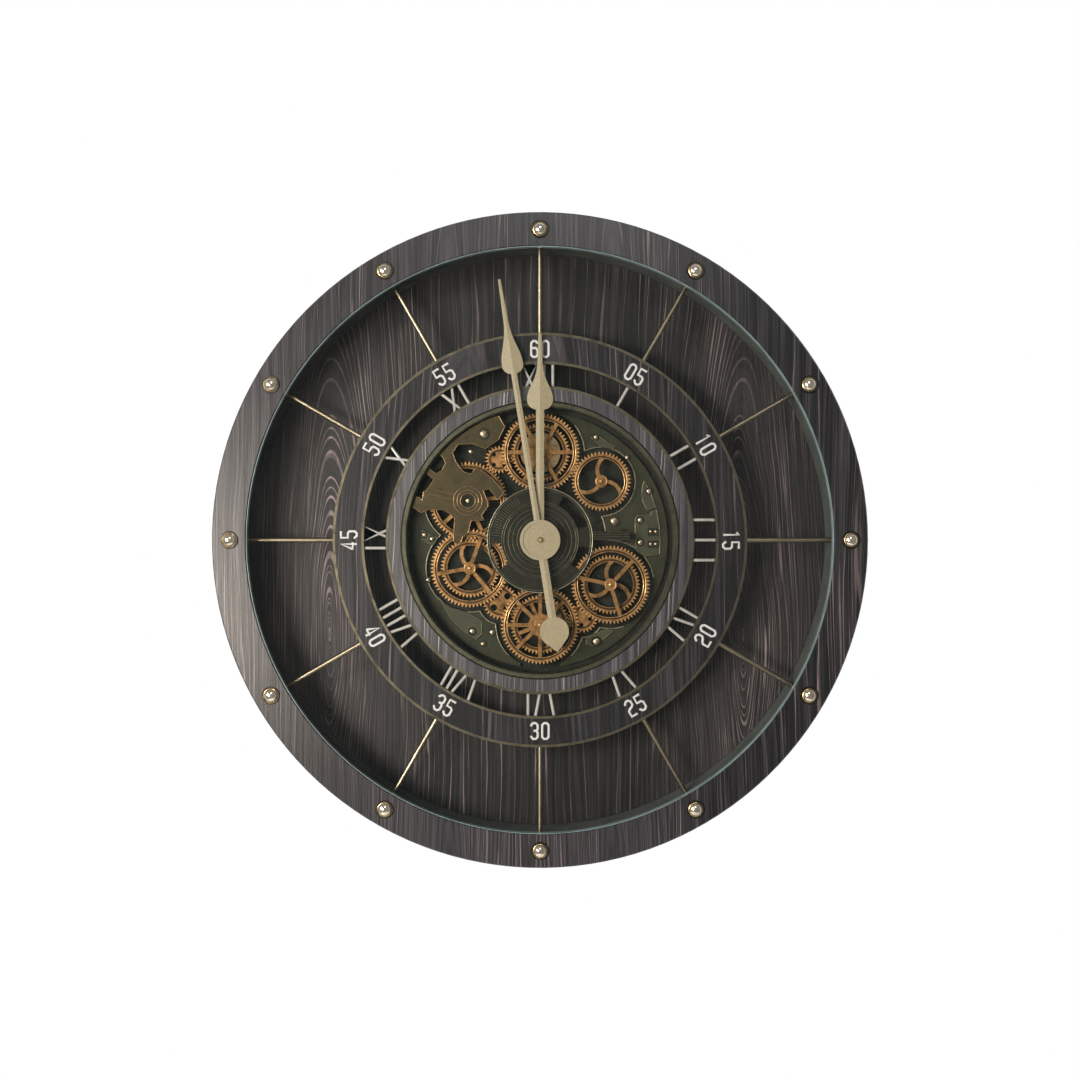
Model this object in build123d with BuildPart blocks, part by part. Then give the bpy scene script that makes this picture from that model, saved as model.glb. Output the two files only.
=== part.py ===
from build123d import *
import os
from math import asin, atan2, cos, degrees, hypot, radians, sin, sqrt, tan

# Round wall clock with an open gear train, 80 cm across.
# Millimetres and degrees. The wall is the plane y = 0 and the clock faces -Y, so +X is to the right
# of someone who faces it and +Z is up. The origin is on the clock's axis, at the wall.
# A "depth" is a distance in front of the wall.

# Rim, glass and drum
rim_outer_radius = 400.0
rim_width = 41.5
rim_thickness = 16.0
rim_chamfer = 1.5
rim_lip = 3.5
drum_wall = 1.5
drum_rear_flange = 27.0
drum_front_flange = 26.0
glass_thickness = 4.0
glass_cover = 9.5
glass_edge_clearance = 2.0
gasket_thickness = 1.0
gasket_width = 5.0
glass_clearance = 4.0

# Rim studs
stud_count = 12
stud_edge_distance = 21.0
stud_head_radius = 8.0
stud_head_height = 5.6
stud_facets = 16
stud_shoulder_height = 3.4
stud_shoulder_taper = 18.0
stud_crown_taper = 58.0
stud_washer_radius = 11.0
stud_washer_thickness = 1.2

# Back panel and hanger
panel_thickness = 9.0
panel_edge_clearance = 0.5
hanger_width = 70.0
hanger_height = 44.0
hanger_flange_gap = 29.5
keyhole_radius = 5.0
keyhole_slot_radius = 2.5
keyhole_slot_length = 14.0
keyhole_pocket_margin = 3.0
keyhole_pocket_depth = 6.0

# Rings, rods and hour numerals
ring_thickness = 6.0
ring_edge_rise = 0.6
ring_edge_width = 3.2
bezel_width = 8.5
bezel_height = 7.5
bezel_bevel = 2.0
bezel_overhang = 1.5
inner_ring_width = 18.0
numeral_gap = 27.3
minute_ring_width = 38.7
rod_radius = 3.0
rod_facets = 10
numeral_stroke = 3.5
numeral_thickness = 3.0
v_foot = 5.0
v_top = 11.5
x_foot = 6.6
x_top = 7.8

# Gear housing and plates
window_clearance = 7.6
housing_wall = 2.5
housing_shoulder = 8.0
housing_flange_thickness = 2.5
base_plate_thickness = 3.0
base_plate_clearance = 0.3
cover_plate_thickness = 4.0
cover_plate_inset = 6.0
gear_pocket_margin = 5.0
hub_pocket_radius = 82.0
cover_gear_gap = 3.0

# Gear train
gear_module = 1.5
tooth_addendum = 1.4
tooth_dedendum = 3.4
wheel_facets = 36
hub_facets = 20
hole_facets = 10
spoke_facets = 4
gear_thickness = 3.6
gear_layer_gap = 2.6
gear_rim_width = 4.0
spoke_width = 4.6
curved_spoke_bend = 0.66
large_teeth = 64
small_teeth = 48
upper_idler_teeth = 22
left_idler_teeth = 28
right_idler_teeth = 24
drive_distance = 106.0
right_idler_angle = 9.5
right_lower_angle = 50.0
left_idler_angle = 150.0
left_angle = 132.0
bridge_angle = 91.5
upper_idler_angle = 53.4
top_angle = 9.5
right_upper_angle = -25.4
arbor_radius = 3.0
collar_radius = 5.5
running_clearance = 0.05
axial_play = 0.3
sleeve_radius = 6.0
hub_radius = 7.8
ring_hub_radius = 14.4
hub_rise = 2.4
hub_cap = 1.2
rear_hub_radius = 10.0
barrel_radius = 25.0
idler_hub_radius = 5.0
idler_hub_rise = 1.6
idler_hole_radius = 4.2
idler_hole_circle = 11.0
small_idler_hole_radius = 2.8
small_idler_hole_circle = 9.4

# Bridge and centre spider
bridge_gap = 2.0
bridge_thickness = 2.5
bridge_rib_height = 1.0
bridge_rib_width = 8.0
bridge_rib_length = 48.5
bridge_rib_angle = 166.0
bridge_boss_radius = 18.5
bridge_body = [
    (-52, 12), (-43, 25), (-41, 33), (-32, 38), (-28, 46), (-15, 49), (-10, 41), (-5, 36), (4, 33),
    (9, 39), (15, 39), (32, 26), (45, 10), (37, 1), (27, 15), (19, 13), (25, -2), (25, -7), (17, -18),
    (20, -24), (5, -25), (-17, -21), (-22, -16), (-31, -11), (-52, -11),
]
bridge_arm = [(-50, 12), (-55, 11), (-57, 0), (-60, 4), (-66, 6), (-70, -7), (-58, -15), (-50, -11)]
bridge_pawl = [(-42, 26), (-52, 35), (-48, 40), (-38, 32)]
bridge_crown = [
    (-26, 42), (-30, 53), (-37, 59), (-50, 75), (-10, 105), (30, 120), (46, 92), (38, 76), (22, 65),
    (5, 71), (-12, 70), (-19, 60), (-14, 46),
]
bridge_tail = [(-16, -18), (-18, -50), (-14, -54), (-9, -52), (-6, -44), (0, -40), (5, -22)]
jewel_radius = 8.5
jewel_rim = 3.0
jewel_pin_radius = 2.4
post_radius = 4.0
bridge_arm_post_gap = 9.0
bridge_arm_post_angle = 184.0
bridge_crown_post_gap = 15.0
bridge_crown_post_angle = 108.0
spider_disc_radius = 48.0
spider_ring_inner = 62.5
spider_ring_width = 3.5
spider_step_height = 1.0
spider_rim_width = 3.5
spider_facets = 60
spider_post_circle = 37.0
spider_bore_clearance = 3.0
strap_width = 11.0
strap_height = 5.5
strap_reach = 46.0

# Hands
hand_gap = 1.6
hand_edge_thickness = 0.6
hand_slope = 8.0
bezel_hand_gap = 1.6
minute_hand_turn = -8.9
minute_length = 325.6
minute_tip_half_width = 1.6
minute_neck_at = 281.0
minute_neck_half_width = 2.7
minute_bulge_at = 221.0
minute_bulge_half_width = 13.0
minute_bulge_bottom = 208.0
minute_stem_half_width = 3.6
minute_hub_radius = 25.0
minute_hub_step = 0.9
minute_hub_rim = 4.0
tail_half_width = 5.2
tail_weight_at = 114.4
tail_weight_radius = 18.0
tail_tip_at = 140.0
hour_length = 255.6
hour_tip_half_width = 1.8
hour_neck_at = 224.0
hour_neck_half_width = 3.0
hour_bulge_at = 175.0
hour_bulge_half_width = 16.0
hour_bulge_bottom = 161.5
hour_stem_half_width = 5.0
hour_hub_radius = 20.0
minute_arbor_radius = 2.0
hour_pipe_wall = 1.2
hand_nut_radius = 3.6
hand_nut_height = 2.6

# Quartz movement, motor and batteries, behind the base plate
movement_size = 56.0
movement_depth = 16.0
movement_wall_gap = 11.0
movement_neck_radius = 5.5
movement_nut_radius = 9.0
movement_nut_thickness = 4.0
pipe_insertion = 6.0
knob_radius = 7.0
knob_thickness = 5.5
knob_flutes = 18
knob_gap = 1.5
cell_radius = 7.1
cell_length = 50.5
cell_clearance = 0.4
movement_cell_drop = 17.4
motor_radius = 23.0
motor_depth = 13.0
motor_bore_depth = 9.0
battery_box_offset = 84.0
battery_wall = 1.6
battery_floor = 1.6
lid_thickness = 1.4
lid_gap = 0.2
rail_width = 2.0
rail_lip = 1.4
switch_block_length = 16.0
switch_block_height = 9.0
switch_slot_depth = 3.0
switch_slider = 4.0
switch_travel = 4.0
switch_gap = 0.3


def dial_plane(depth, center=(0, 0), turn=0):
    """Plane that faces the room at a depth, with its origin at a point of the dial, turned clockwise."""
    across = (cos(radians(turn)), 0, -sin(radians(turn)))
    return Plane(origin=(center[0], -depth, center[1]), x_dir=across, z_dir=(0, -1, 0))


def polar(radius, angle, center=(0, 0)):
    """Point of the dial at a radius and an angle, counter-clockwise from 3 o'clock."""
    return (center[0] + radius * cos(radians(angle)), center[1] + radius * sin(radians(angle)))


def pitch_radius(teeth):
    """Radius at which a wheel's teeth meet those of its mate."""
    return gear_module * teeth / 2


def tip_radius(teeth):
    """Radius over the tips of a wheel's teeth."""
    return pitch_radius(teeth) + tooth_addendum


def rim_bore(teeth):
    """Radius of the inner edge of a spoked wheel's rim."""
    return pitch_radius(teeth) - tooth_dedendum - gear_rim_width


def next_center(center, teeth, mate_teeth, angle):
    """Centre of the wheel that meshes with one at a centre, in the direction of an angle."""
    return polar(pitch_radius(teeth) + pitch_radius(mate_teeth), angle, center)


def mesh_phase(phase, teeth, mate_teeth, angle):
    """Turn of a wheel whose gaps receive the teeth of its mate along the line of centres."""
    return angle + 180 + 180 / mate_teeth - (phase - angle) * teeth / mate_teeth


class ToothedDisc(BaseSketchObject):
    """Disc with pointed straight-sided teeth, one of them on an angle."""

    def __init__(self, teeth, phase, mode=Mode.ADD):
        root = pitch_radius(teeth) - tooth_dedendum
        points = []
        for tooth in range(teeth):
            angle = phase + 360 * tooth / teeth
            points.append(polar(tip_radius(teeth), angle))
            points.append(polar(root, angle + 180 / teeth))
        with BuildSketch() as disc:
            with BuildLine():
                Polyline(*points, close=True)
            make_face()
        super().__init__(disc.sketch, mode=mode)


class StraightSpoke(BaseSketchObject):
    """Straight spoke along +X from a hub into a rim."""

    def __init__(self, hub, rim, mode=Mode.ADD):
        with BuildSketch() as spoke:
            with Locations(((hub + rim) / 2, 0)):
                Rectangle(rim - hub + gear_rim_width, spoke_width)
        super().__init__(spoke.sketch, mode=mode)


class CurvedSpoke(BaseSketchObject):
    """Spoke that leaves a hub along +X and bends clockwise in one arc until it enters the rim."""

    def __init__(self, hub, rim, mode=Mode.ADD):
        start = hub - spoke_width / 2
        bend = curved_spoke_bend * rim
        reach = rim + gear_rim_width / 3
        across = 2 * start * bend
        along = 2 * bend**2
        lift = (reach**2 - start**2 - along) / hypot(across, along)
        sweep_angle = degrees(atan2(along, across) + asin(lift))
        turns = [90 - sweep_angle * step / spoke_facets for step in range(spoke_facets + 1)]
        outer = [polar(bend + spoke_width / 2, turn, (start, -bend)) for turn in turns]
        inner = [polar(bend - spoke_width / 2, turn, (start, -bend)) for turn in turns]
        with BuildSketch() as spoke:
            with BuildLine():
                Polyline(*outer, *reversed(inner), close=True)
            make_face()
        super().__init__(spoke.sketch, mode=mode)


class SpadeHand(BaseSketchObject):
    """Stem, spade and needle of a hand that points along +Y."""

    def __init__(self, stem, bottom, bulge_at, bulge, neck_at, neck, length, tip, mode=Mode.ADD):
        lower_turn = (bulge * 0.80, bottom + (bulge_at - bottom) * 0.28)
        shoulder = (bulge, bulge_at + (neck_at - bulge_at) * 0.30)
        waist = (neck, bulge_at + (neck_at - bulge_at) * 0.42)
        with BuildSketch() as hand:
            with BuildLine():
                Polyline((0, 0), (stem, 0), (stem, bottom))
                ThreePointArc((stem, bottom), lower_turn, (bulge, bulge_at))
                Bezier((bulge, bulge_at), shoulder, waist, (neck, neck_at))
                Polyline((neck, neck_at), (tip, length), (0, length))
                mirror(about=Plane.YZ)
            make_face()
        super().__init__(hand.sketch, mode=mode)


def add_ring(inner, outer, back, front, mode=Mode.ADD):
    """Add a flat ring round the clock's axis, between two depths, to the part that is open."""
    with BuildSketch(dial_plane(back)) as section:
        Circle(outer)
        Circle(inner, mode=Mode.SUBTRACT)
    extrude(section.sketch, amount=front - back, mode=mode)


def add_disc(radius, back, front, center=(0, 0), mode=Mode.ADD):
    """Add a round pin or disc at a point of the dial, between two depths, to the part that is open."""
    with BuildSketch(dial_plane(back, center)) as section:
        Circle(radius)
    extrude(section.sketch, amount=front - back, mode=mode)


def add_boss(radius, facets, back, front, center=(0, 0), mode=Mode.ADD):
    """Add a faceted disc at a point of the dial, between two depths, to the part that is open."""
    with BuildSketch(dial_plane(back, center)) as section:
        RegularPolygon(radius, facets)
    extrude(section.sketch, amount=front - back, mode=mode)


def add_roof(plane, ridge, half_width, length):
    """Trim the part that is open to two facets that fall away from a ridge along the plane's Y axis."""
    edge = half_width + hand_edge_thickness
    fall = edge * tan(radians(hand_slope))
    across = Plane(origin=plane.origin, x_dir=plane.x_dir, z_dir=-plane.y_dir)
    with BuildSketch(across) as section:
        Polygon((-edge, 0), (edge, 0), (edge, ridge - fall), (0, ridge), (-edge, ridge - fall), align=None)
    extrude(section.sketch, amount=length, both=True, mode=Mode.INTERSECT)


def save(piece, name):
    """Label a finished piece and write it to its own file."""
    piece.part.label = name
    export_step(piece.part, f"parts/{name}.step")


# Centres and turns of the wheels, from the driven bottom wheel outward along the train
bottom_center = polar(drive_distance, -90)
right_idler_center = next_center(bottom_center, small_teeth, right_idler_teeth, right_idler_angle)
right_lower_center = next_center(right_idler_center, right_idler_teeth, small_teeth, right_lower_angle)
left_idler_center = next_center(bottom_center, small_teeth, left_idler_teeth, left_idler_angle)
left_center = next_center(left_idler_center, left_idler_teeth, small_teeth, left_angle)
bridge_center = next_center(left_center, small_teeth, large_teeth, bridge_angle)
upper_idler_center = next_center(bridge_center, large_teeth, upper_idler_teeth, upper_idler_angle)
top_center = next_center(upper_idler_center, upper_idler_teeth, small_teeth, top_angle)
right_upper_center = next_center(top_center, large_teeth, small_teeth, right_upper_angle)

bottom_phase = 0.0
top_front_phase = 0.0
right_idler_phase = mesh_phase(bottom_phase, small_teeth, right_idler_teeth, right_idler_angle)
right_lower_phase = mesh_phase(right_idler_phase, right_idler_teeth, small_teeth, right_lower_angle)
left_idler_phase = mesh_phase(bottom_phase, small_teeth, left_idler_teeth, left_idler_angle)
left_phase = mesh_phase(left_idler_phase, left_idler_teeth, small_teeth, left_angle)
bridge_phase = mesh_phase(left_phase, small_teeth, large_teeth, bridge_angle)
upper_idler_phase = mesh_phase(bridge_phase, large_teeth, upper_idler_teeth, upper_idler_angle)
top_phase = mesh_phase(upper_idler_phase, upper_idler_teeth, small_teeth, top_angle)
right_upper_phase = mesh_phase(top_front_phase, large_teeth, small_teeth, right_upper_angle)

# Each wheel's centre with the tooth count of its larger wheel, which sets the room that it needs
wheel_sites = [
    (bottom_center, large_teeth),
    (right_idler_center, right_idler_teeth),
    (right_lower_center, large_teeth),
    (left_idler_center, left_idler_teeth),
    (left_center, large_teeth),
    (bridge_center, large_teeth),
    (upper_idler_center, upper_idler_teeth),
    (top_center, large_teeth),
    (right_upper_center, small_teeth),
]
train_reach = max(hypot(*center) + tip_radius(teeth) for center, teeth in wheel_sites)

# Radii from the gear window outward
housing_radius = train_reach + window_clearance
housing_bore = housing_radius - housing_shoulder
bezel_inner = housing_radius - bezel_overhang
bezel_outer = bezel_inner + bezel_width
inner_ring_outer = bezel_outer + inner_ring_width
minute_ring_inner = inner_ring_outer + numeral_gap
minute_ring_outer = minute_ring_inner + minute_ring_width
rim_inner_radius = rim_outer_radius - rim_width
drum_radius = rim_inner_radius + rim_lip
drum_outer_radius = drum_radius + drum_wall
stud_circle = rim_outer_radius - stud_edge_distance
rear_flange_bore = drum_outer_radius - drum_rear_flange
hanger_center_height = rear_flange_bore - hanger_flange_gap - hanger_height / 2
flange_radius = drum_outer_radius + drum_front_flange
glass_radius = rim_inner_radius + glass_cover
rabbet_radius = glass_radius + glass_edge_clearance

# Depths from the wall forward
panel_back = drum_wall
panel_front = panel_back + panel_thickness
base_back = movement_wall_gap + movement_depth
base_front = base_back + base_plate_thickness
cover_front = base_front + cover_plate_thickness
rear_gear_back = cover_front + cover_gear_gap
rear_gear_front = rear_gear_back + gear_thickness
front_gear_back = rear_gear_front + gear_layer_gap
front_gear_front = front_gear_back + gear_thickness
hub_front = front_gear_front + hub_rise
bridge_back = front_gear_front + bridge_gap
bridge_front = bridge_back + bridge_thickness
ring_back = bridge_back + bridge_rib_height
ring_front = ring_back + ring_thickness
ring_edge_front = ring_front + ring_edge_rise
rod_depth = (ring_back + ring_front) / 2
numeral_back = rod_depth - numeral_thickness / 2
bezel_front = ring_back + bezel_height
hour_ridge = hand_edge_thickness + hour_bulge_half_width * tan(radians(hand_slope))
minute_ridge = hand_edge_thickness + minute_bulge_half_width * tan(radians(hand_slope))
hour_back = bezel_front + bezel_hand_gap
hour_front = hour_back + hour_ridge
minute_back = hour_front + hand_gap
minute_front = minute_back + minute_ridge + minute_hub_step
nut_front = minute_front + hand_nut_height
glass_back = nut_front + glass_clearance
glass_front = glass_back + glass_thickness
rim_back = glass_back - gasket_thickness
rim_front = rim_back + rim_thickness
flange_back = rim_back - drum_wall
stud_seat = rim_front + stud_washer_thickness

# Posts that carry the bridge, the strap and the centre spider, clear of every wheel
bridge_post_points = [
    polar(tip_radius(large_teeth) + bridge_arm_post_gap, bridge_arm_post_angle, bridge_center),
    polar(tip_radius(large_teeth) + bridge_crown_post_gap, bridge_crown_post_angle, bridge_center),
]
spider_ring_outer = spider_ring_inner + spider_ring_width
strap_end = spider_ring_outer + strap_reach
strap_post_point = (strap_end - post_radius - 1.5, strap_height)
spider_post_points = [polar(spider_post_circle, angle) for angle in (30, 150, 270)]
post_points = bridge_post_points + [strap_post_point]

os.makedirs("parts", exist_ok=True)

# Wooden rim, with a rabbet behind its lip for the glass
with BuildPart() as rim_ring:
    add_ring(rim_inner_radius, rim_outer_radius, rim_back, rim_front)
    chamfer(rim_ring.faces().sort_by(Axis.Y)[0].edges(), rim_chamfer)
    add_ring(rim_inner_radius - 1, rabbet_radius, rim_back, glass_front, mode=Mode.SUBTRACT)
save(rim_ring, "rim_ring")

# Domed studs round the rim
with BuildPart() as rim_studs:
    with BuildSketch(dial_plane(stud_seat)):
        with PolarLocations(stud_circle, stud_count):
            RegularPolygon(stud_head_radius, stud_facets)
    extrude(amount=stud_shoulder_height, taper=stud_shoulder_taper)
    crown_radius = stud_head_radius - stud_shoulder_height * tan(radians(stud_shoulder_taper))
    with BuildSketch(dial_plane(stud_seat + stud_shoulder_height)):
        with PolarLocations(stud_circle, stud_count):
            RegularPolygon(crown_radius, stud_facets)
    extrude(amount=stud_head_height - stud_shoulder_height, taper=stud_crown_taper)
save(rim_studs, "rim_studs")

# Dark cup washers under the stud heads
with BuildPart() as rim_stud_washers:
    with BuildSketch(dial_plane(rim_front)):
        with PolarLocations(stud_circle, stud_count):
            RegularPolygon(stud_washer_radius, stud_facets)
    extrude(amount=stud_washer_thickness)
save(rim_stud_washers, "rim_stud_washers")

# Glass pane and the gasket that it rests on
with BuildPart() as glass_pane:
    add_disc(glass_radius, glass_back, glass_front)
save(glass_pane, "glass_pane")
with BuildPart() as glass_gasket:
    add_ring(drum_radius, drum_radius + gasket_width, rim_back, glass_back)
save(glass_gasket, "glass_gasket")

# Sheet-metal drum with an inward rear flange, and the ring welded to its front edge to carry the rim
with BuildPart() as case_drum:
    add_ring(drum_radius, drum_outer_radius, 0, flange_back)
    add_ring(rear_flange_bore, drum_outer_radius, 0, panel_back)
save(case_drum, "case_drum")
with BuildPart() as rim_carrier:
    add_ring(drum_radius, flange_radius, flange_back, rim_back)
save(rim_carrier, "rim_carrier")

# Back panel with the service opening and a pocket behind the keyhole
with BuildPart() as back_panel:
    add_ring(housing_bore, drum_radius - panel_edge_clearance, panel_back, panel_front)
    keyhole_pocket_radius = keyhole_radius + keyhole_pocket_margin
    with BuildSketch(dial_plane(panel_back, (0, hanger_center_height))):
        with Locations((0, keyhole_slot_length / 2)):
            SlotCenterToCenter(keyhole_slot_length, 2 * keyhole_pocket_radius, rotation=90)
    extrude(amount=keyhole_pocket_depth, mode=Mode.SUBTRACT)
save(back_panel, "back_panel")

# Steel hanger plate with its keyhole, flush with the wall
with BuildPart() as hanger_plate:
    with BuildSketch(dial_plane(0, (0, hanger_center_height))):
        RectangleRounded(hanger_width, hanger_height, keyhole_radius)
        Circle(keyhole_radius, mode=Mode.SUBTRACT)
        with Locations((0, keyhole_slot_length / 2)):
            SlotCenterToCenter(
                keyhole_slot_length, 2 * keyhole_slot_radius, rotation=90, mode=Mode.SUBTRACT
            )
    extrude(amount=panel_back)
save(hanger_plate, "hanger_plate")

# Rods that carry the rings from the drum's wall
rod_end = sqrt(drum_radius**2 - rod_radius**2)
with BuildPart() as spoke_rods:
    rod_planes = []
    for hour in range(12):
        outward = (sin(radians(30 * hour)), 0, cos(radians(30 * hour)))
        foot = (minute_ring_outer * outward[0], -rod_depth, minute_ring_outer * outward[2])
        rod_planes.append(Plane(origin=foot, z_dir=outward))
    with BuildSketch(*rod_planes):
        RegularPolygon(rod_radius, rod_facets)
    extrude(amount=rod_end - minute_ring_outer)
save(spoke_rods, "spoke_rods")

# Minute ring: a wooden band between two metal edges
with BuildPart() as minute_ring:
    add_ring(
        minute_ring_inner + ring_edge_width,
        minute_ring_outer - ring_edge_width,
        ring_back,
        ring_front,
    )
save(minute_ring, "minute_ring")
with BuildPart() as minute_ring_outer_edge:
    add_ring(minute_ring_outer - ring_edge_width, minute_ring_outer, ring_back, ring_edge_front)
save(minute_ring_outer_edge, "minute_ring_outer_edge")
with BuildPart() as minute_ring_inner_edge:
    add_ring(minute_ring_inner, minute_ring_inner + ring_edge_width, ring_back, ring_edge_front)
save(minute_ring_inner_edge, "minute_ring_inner_edge")

# Hour numerals of flat bars between the two rings; places run clockwise along the ring
numeral_layout = {
    1: [("I", 0.0)],
    2: [("I", -9.3), ("I", 9.3)],
    3: [("I", -25.0), ("I", 0.0), ("I", 25.0)],
    4: [("I", -14.0), ("V", 7.5)],
    5: [("V", 0.0)],
    6: [("V", -6.0), ("I", 14.8)],
    7: [("V", -11.0), ("I", 8.0), ("I", 16.5)],
    8: [("V", -18.0), ("I", 2.5), ("I", 13.5), ("I", 24.5)],
    9: [("I", -10.0), ("X", 8.0)],
    10: [("X", 0.0)],
    11: [("X", -8.0), ("I", 8.5)],
    12: [("X", -13.0), ("I", 5.0), ("I", 16.0)],
}
glyph_bars = {
    "I": [(0, 0)],
    "V": [(-v_foot, -v_top), (v_foot, v_top)],
    "X": [(-x_foot, x_top), (x_foot, -x_top)],
}
with BuildPart() as hour_numerals:
    with BuildSketch(dial_plane(numeral_back)):
        for hour, glyphs in numeral_layout.items():
            with Locations(Location((0, 0, 0), (0, 0, -30 * hour))):
                for glyph, place in glyphs:
                    for foot, top in glyph_bars[glyph]:
                        half = numeral_stroke / 2
                        low = inner_ring_outer - 2 * numeral_stroke
                        Polygon(
                            (place + foot - half, low),
                            (place + foot + half, low),
                            (place + top + half, minute_ring_inner),
                            (place + top - half, minute_ring_inner),
                            align=None,
                        )
        Circle(minute_ring_inner, mode=Mode.INTERSECT)
        Circle(inner_ring_outer, mode=Mode.SUBTRACT)
    extrude(amount=numeral_thickness)
save(hour_numerals, "hour_numerals")

# Inner ring with its metal edge, and the bezel round the gear window
with BuildPart() as inner_ring:
    add_ring(bezel_outer, inner_ring_outer - ring_edge_width, ring_back, ring_front)
save(inner_ring, "inner_ring")
with BuildPart() as inner_ring_edge:
    add_ring(inner_ring_outer - ring_edge_width, inner_ring_outer, ring_back, ring_edge_front)
save(inner_ring_edge, "inner_ring_edge")
with BuildPart() as movement_bezel:
    add_ring(bezel_inner, bezel_outer, ring_back, bezel_front)
    chamfer(movement_bezel.faces().sort_by(Axis.Y)[0].edges(), bezel_bevel)
save(movement_bezel, "movement_bezel")

# Housing of the gear train: a tube with a shoulder for the base plate and a flange for the inner ring
with BuildPart() as gear_housing:
    add_ring(housing_radius, housing_radius + housing_wall, panel_front, ring_back)
    add_ring(housing_bore, housing_radius + housing_wall, panel_front, base_back)
    add_ring(housing_radius, inner_ring_outer, ring_back - housing_flange_thickness, ring_back)
save(gear_housing, "gear_housing")

# Base plate with the posts and the shouldered arbors that stand on it
double_sites = [right_lower_center, left_center, top_center]
idler_sites = [right_idler_center, left_idler_center, upper_idler_center]
collar_front = rear_gear_back - axial_play
with BuildPart() as base_plate:
    add_disc(housing_radius - base_plate_clearance, base_back, base_front)
    for center in double_sites:
        add_boss(collar_radius, hole_facets, base_front, collar_front, center)
        add_disc(arbor_radius, collar_front, hub_front - hub_cap, center)
    for center in idler_sites:
        add_boss(collar_radius, hole_facets, base_front, collar_front, center)
        add_disc(arbor_radius, collar_front, rear_gear_front + idler_hub_rise - hub_cap, center)
    add_boss(collar_radius, hole_facets, base_front, front_gear_back - axial_play, right_upper_center)
    add_disc(arbor_radius, front_gear_back - axial_play, hub_front - hub_cap, right_upper_center)
    add_boss(collar_radius, hole_facets, base_front, collar_front, bridge_center)
    add_disc(arbor_radius, collar_front, bridge_back, bridge_center)
    for point in post_points + spider_post_points:
        add_boss(post_radius, hole_facets, base_front, bridge_back, point)
    add_disc(movement_neck_radius, base_back, base_front, mode=Mode.SUBTRACT)
    add_disc(arbor_radius + 2 * axial_play, base_back, base_front, bottom_center, mode=Mode.SUBTRACT)
save(base_plate, "base_plate")

# Cover plates between the wheels, each pocket following the teeth beside it
with BuildPart() as cover_plates:
    with BuildSketch(dial_plane(base_front)):
        Circle(housing_radius - cover_plate_inset)
        Circle(hub_pocket_radius, mode=Mode.SUBTRACT)
        for center, teeth in wheel_sites:
            with Locations(center):
                Circle(tip_radius(teeth) + gear_pocket_margin, mode=Mode.SUBTRACT)
        for center in (top_center, bottom_center):
            outward_angle = degrees(atan2(center[1], center[0]))
            with Locations(Location(polar(housing_radius, outward_angle), outward_angle)):
                Rectangle(housing_radius / 2, tip_radius(large_teeth), mode=Mode.SUBTRACT)
        for point in post_points:
            with Locations(point):
                RegularPolygon(2 * post_radius, hole_facets, mode=Mode.SUBTRACT)
    extrude(amount=cover_plate_thickness)
save(cover_plates, "cover_plates")

def add_bore(center, front):
    """Bore a wheel for its fixed arbor, from behind up to a depth."""
    add_disc(arbor_radius + running_clearance, base_front, front, center, mode=Mode.SUBTRACT)


blind_front = hub_front - hub_cap + axial_play
idler_blind_front = rear_gear_front + idler_hub_rise - hub_cap + axial_play

# Top wheel: six straight spokes, a smaller wheel behind and a steel spring barrel between them
with BuildPart() as top_gear:
    with BuildSketch(dial_plane(front_gear_back, top_center)):
        ToothedDisc(large_teeth, top_front_phase)
        RegularPolygon(rim_bore(large_teeth), wheel_facets, mode=Mode.SUBTRACT)
        with PolarLocations(0, 6):
            StraightSpoke(ring_hub_radius, rim_bore(large_teeth))
        RegularPolygon(ring_hub_radius, hub_facets)
    extrude(amount=gear_thickness)
    add_boss(hub_radius, hub_facets, front_gear_back, hub_front, top_center)
    add_bore(top_center, blind_front)
save(top_gear, "top_gear")
with BuildPart() as top_gear_rear_wheel:
    with BuildSketch(dial_plane(rear_gear_back, top_center)):
        ToothedDisc(small_teeth, top_phase)
        RegularPolygon(rim_bore(small_teeth), wheel_facets, mode=Mode.SUBTRACT)
        with PolarLocations(0, 6):
            StraightSpoke(rear_hub_radius, rim_bore(small_teeth))
        RegularPolygon(rear_hub_radius, hub_facets)
    extrude(amount=gear_thickness)
    add_boss(sleeve_radius, hub_facets, rear_gear_back, front_gear_back, top_center)
    add_bore(top_center, front_gear_back)
save(top_gear_rear_wheel, "top_gear_rear_wheel")
with BuildPart() as spring_barrel:
    add_boss(barrel_radius, wheel_facets, rear_gear_front, front_gear_back, top_center)
    add_boss(sleeve_radius, hub_facets, rear_gear_front, front_gear_back, top_center, mode=Mode.SUBTRACT)
save(spring_barrel, "spring_barrel")

# Upper right wheel: a single wheel with three curved spokes
with BuildPart() as right_upper_gear:
    with BuildSketch(dial_plane(front_gear_back, right_upper_center)):
        ToothedDisc(small_teeth, right_upper_phase)
        RegularPolygon(rim_bore(small_teeth), wheel_facets, mode=Mode.SUBTRACT)
        with PolarLocations(0, 3):
            CurvedSpoke(hub_radius, rim_bore(small_teeth))
        RegularPolygon(hub_radius, hub_facets)
    extrude(amount=gear_thickness)
    add_boss(hub_radius, hub_facets, front_gear_back, hub_front, right_upper_center)
    add_bore(right_upper_center, blind_front)
save(right_upper_gear, "right_upper_gear")

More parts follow.
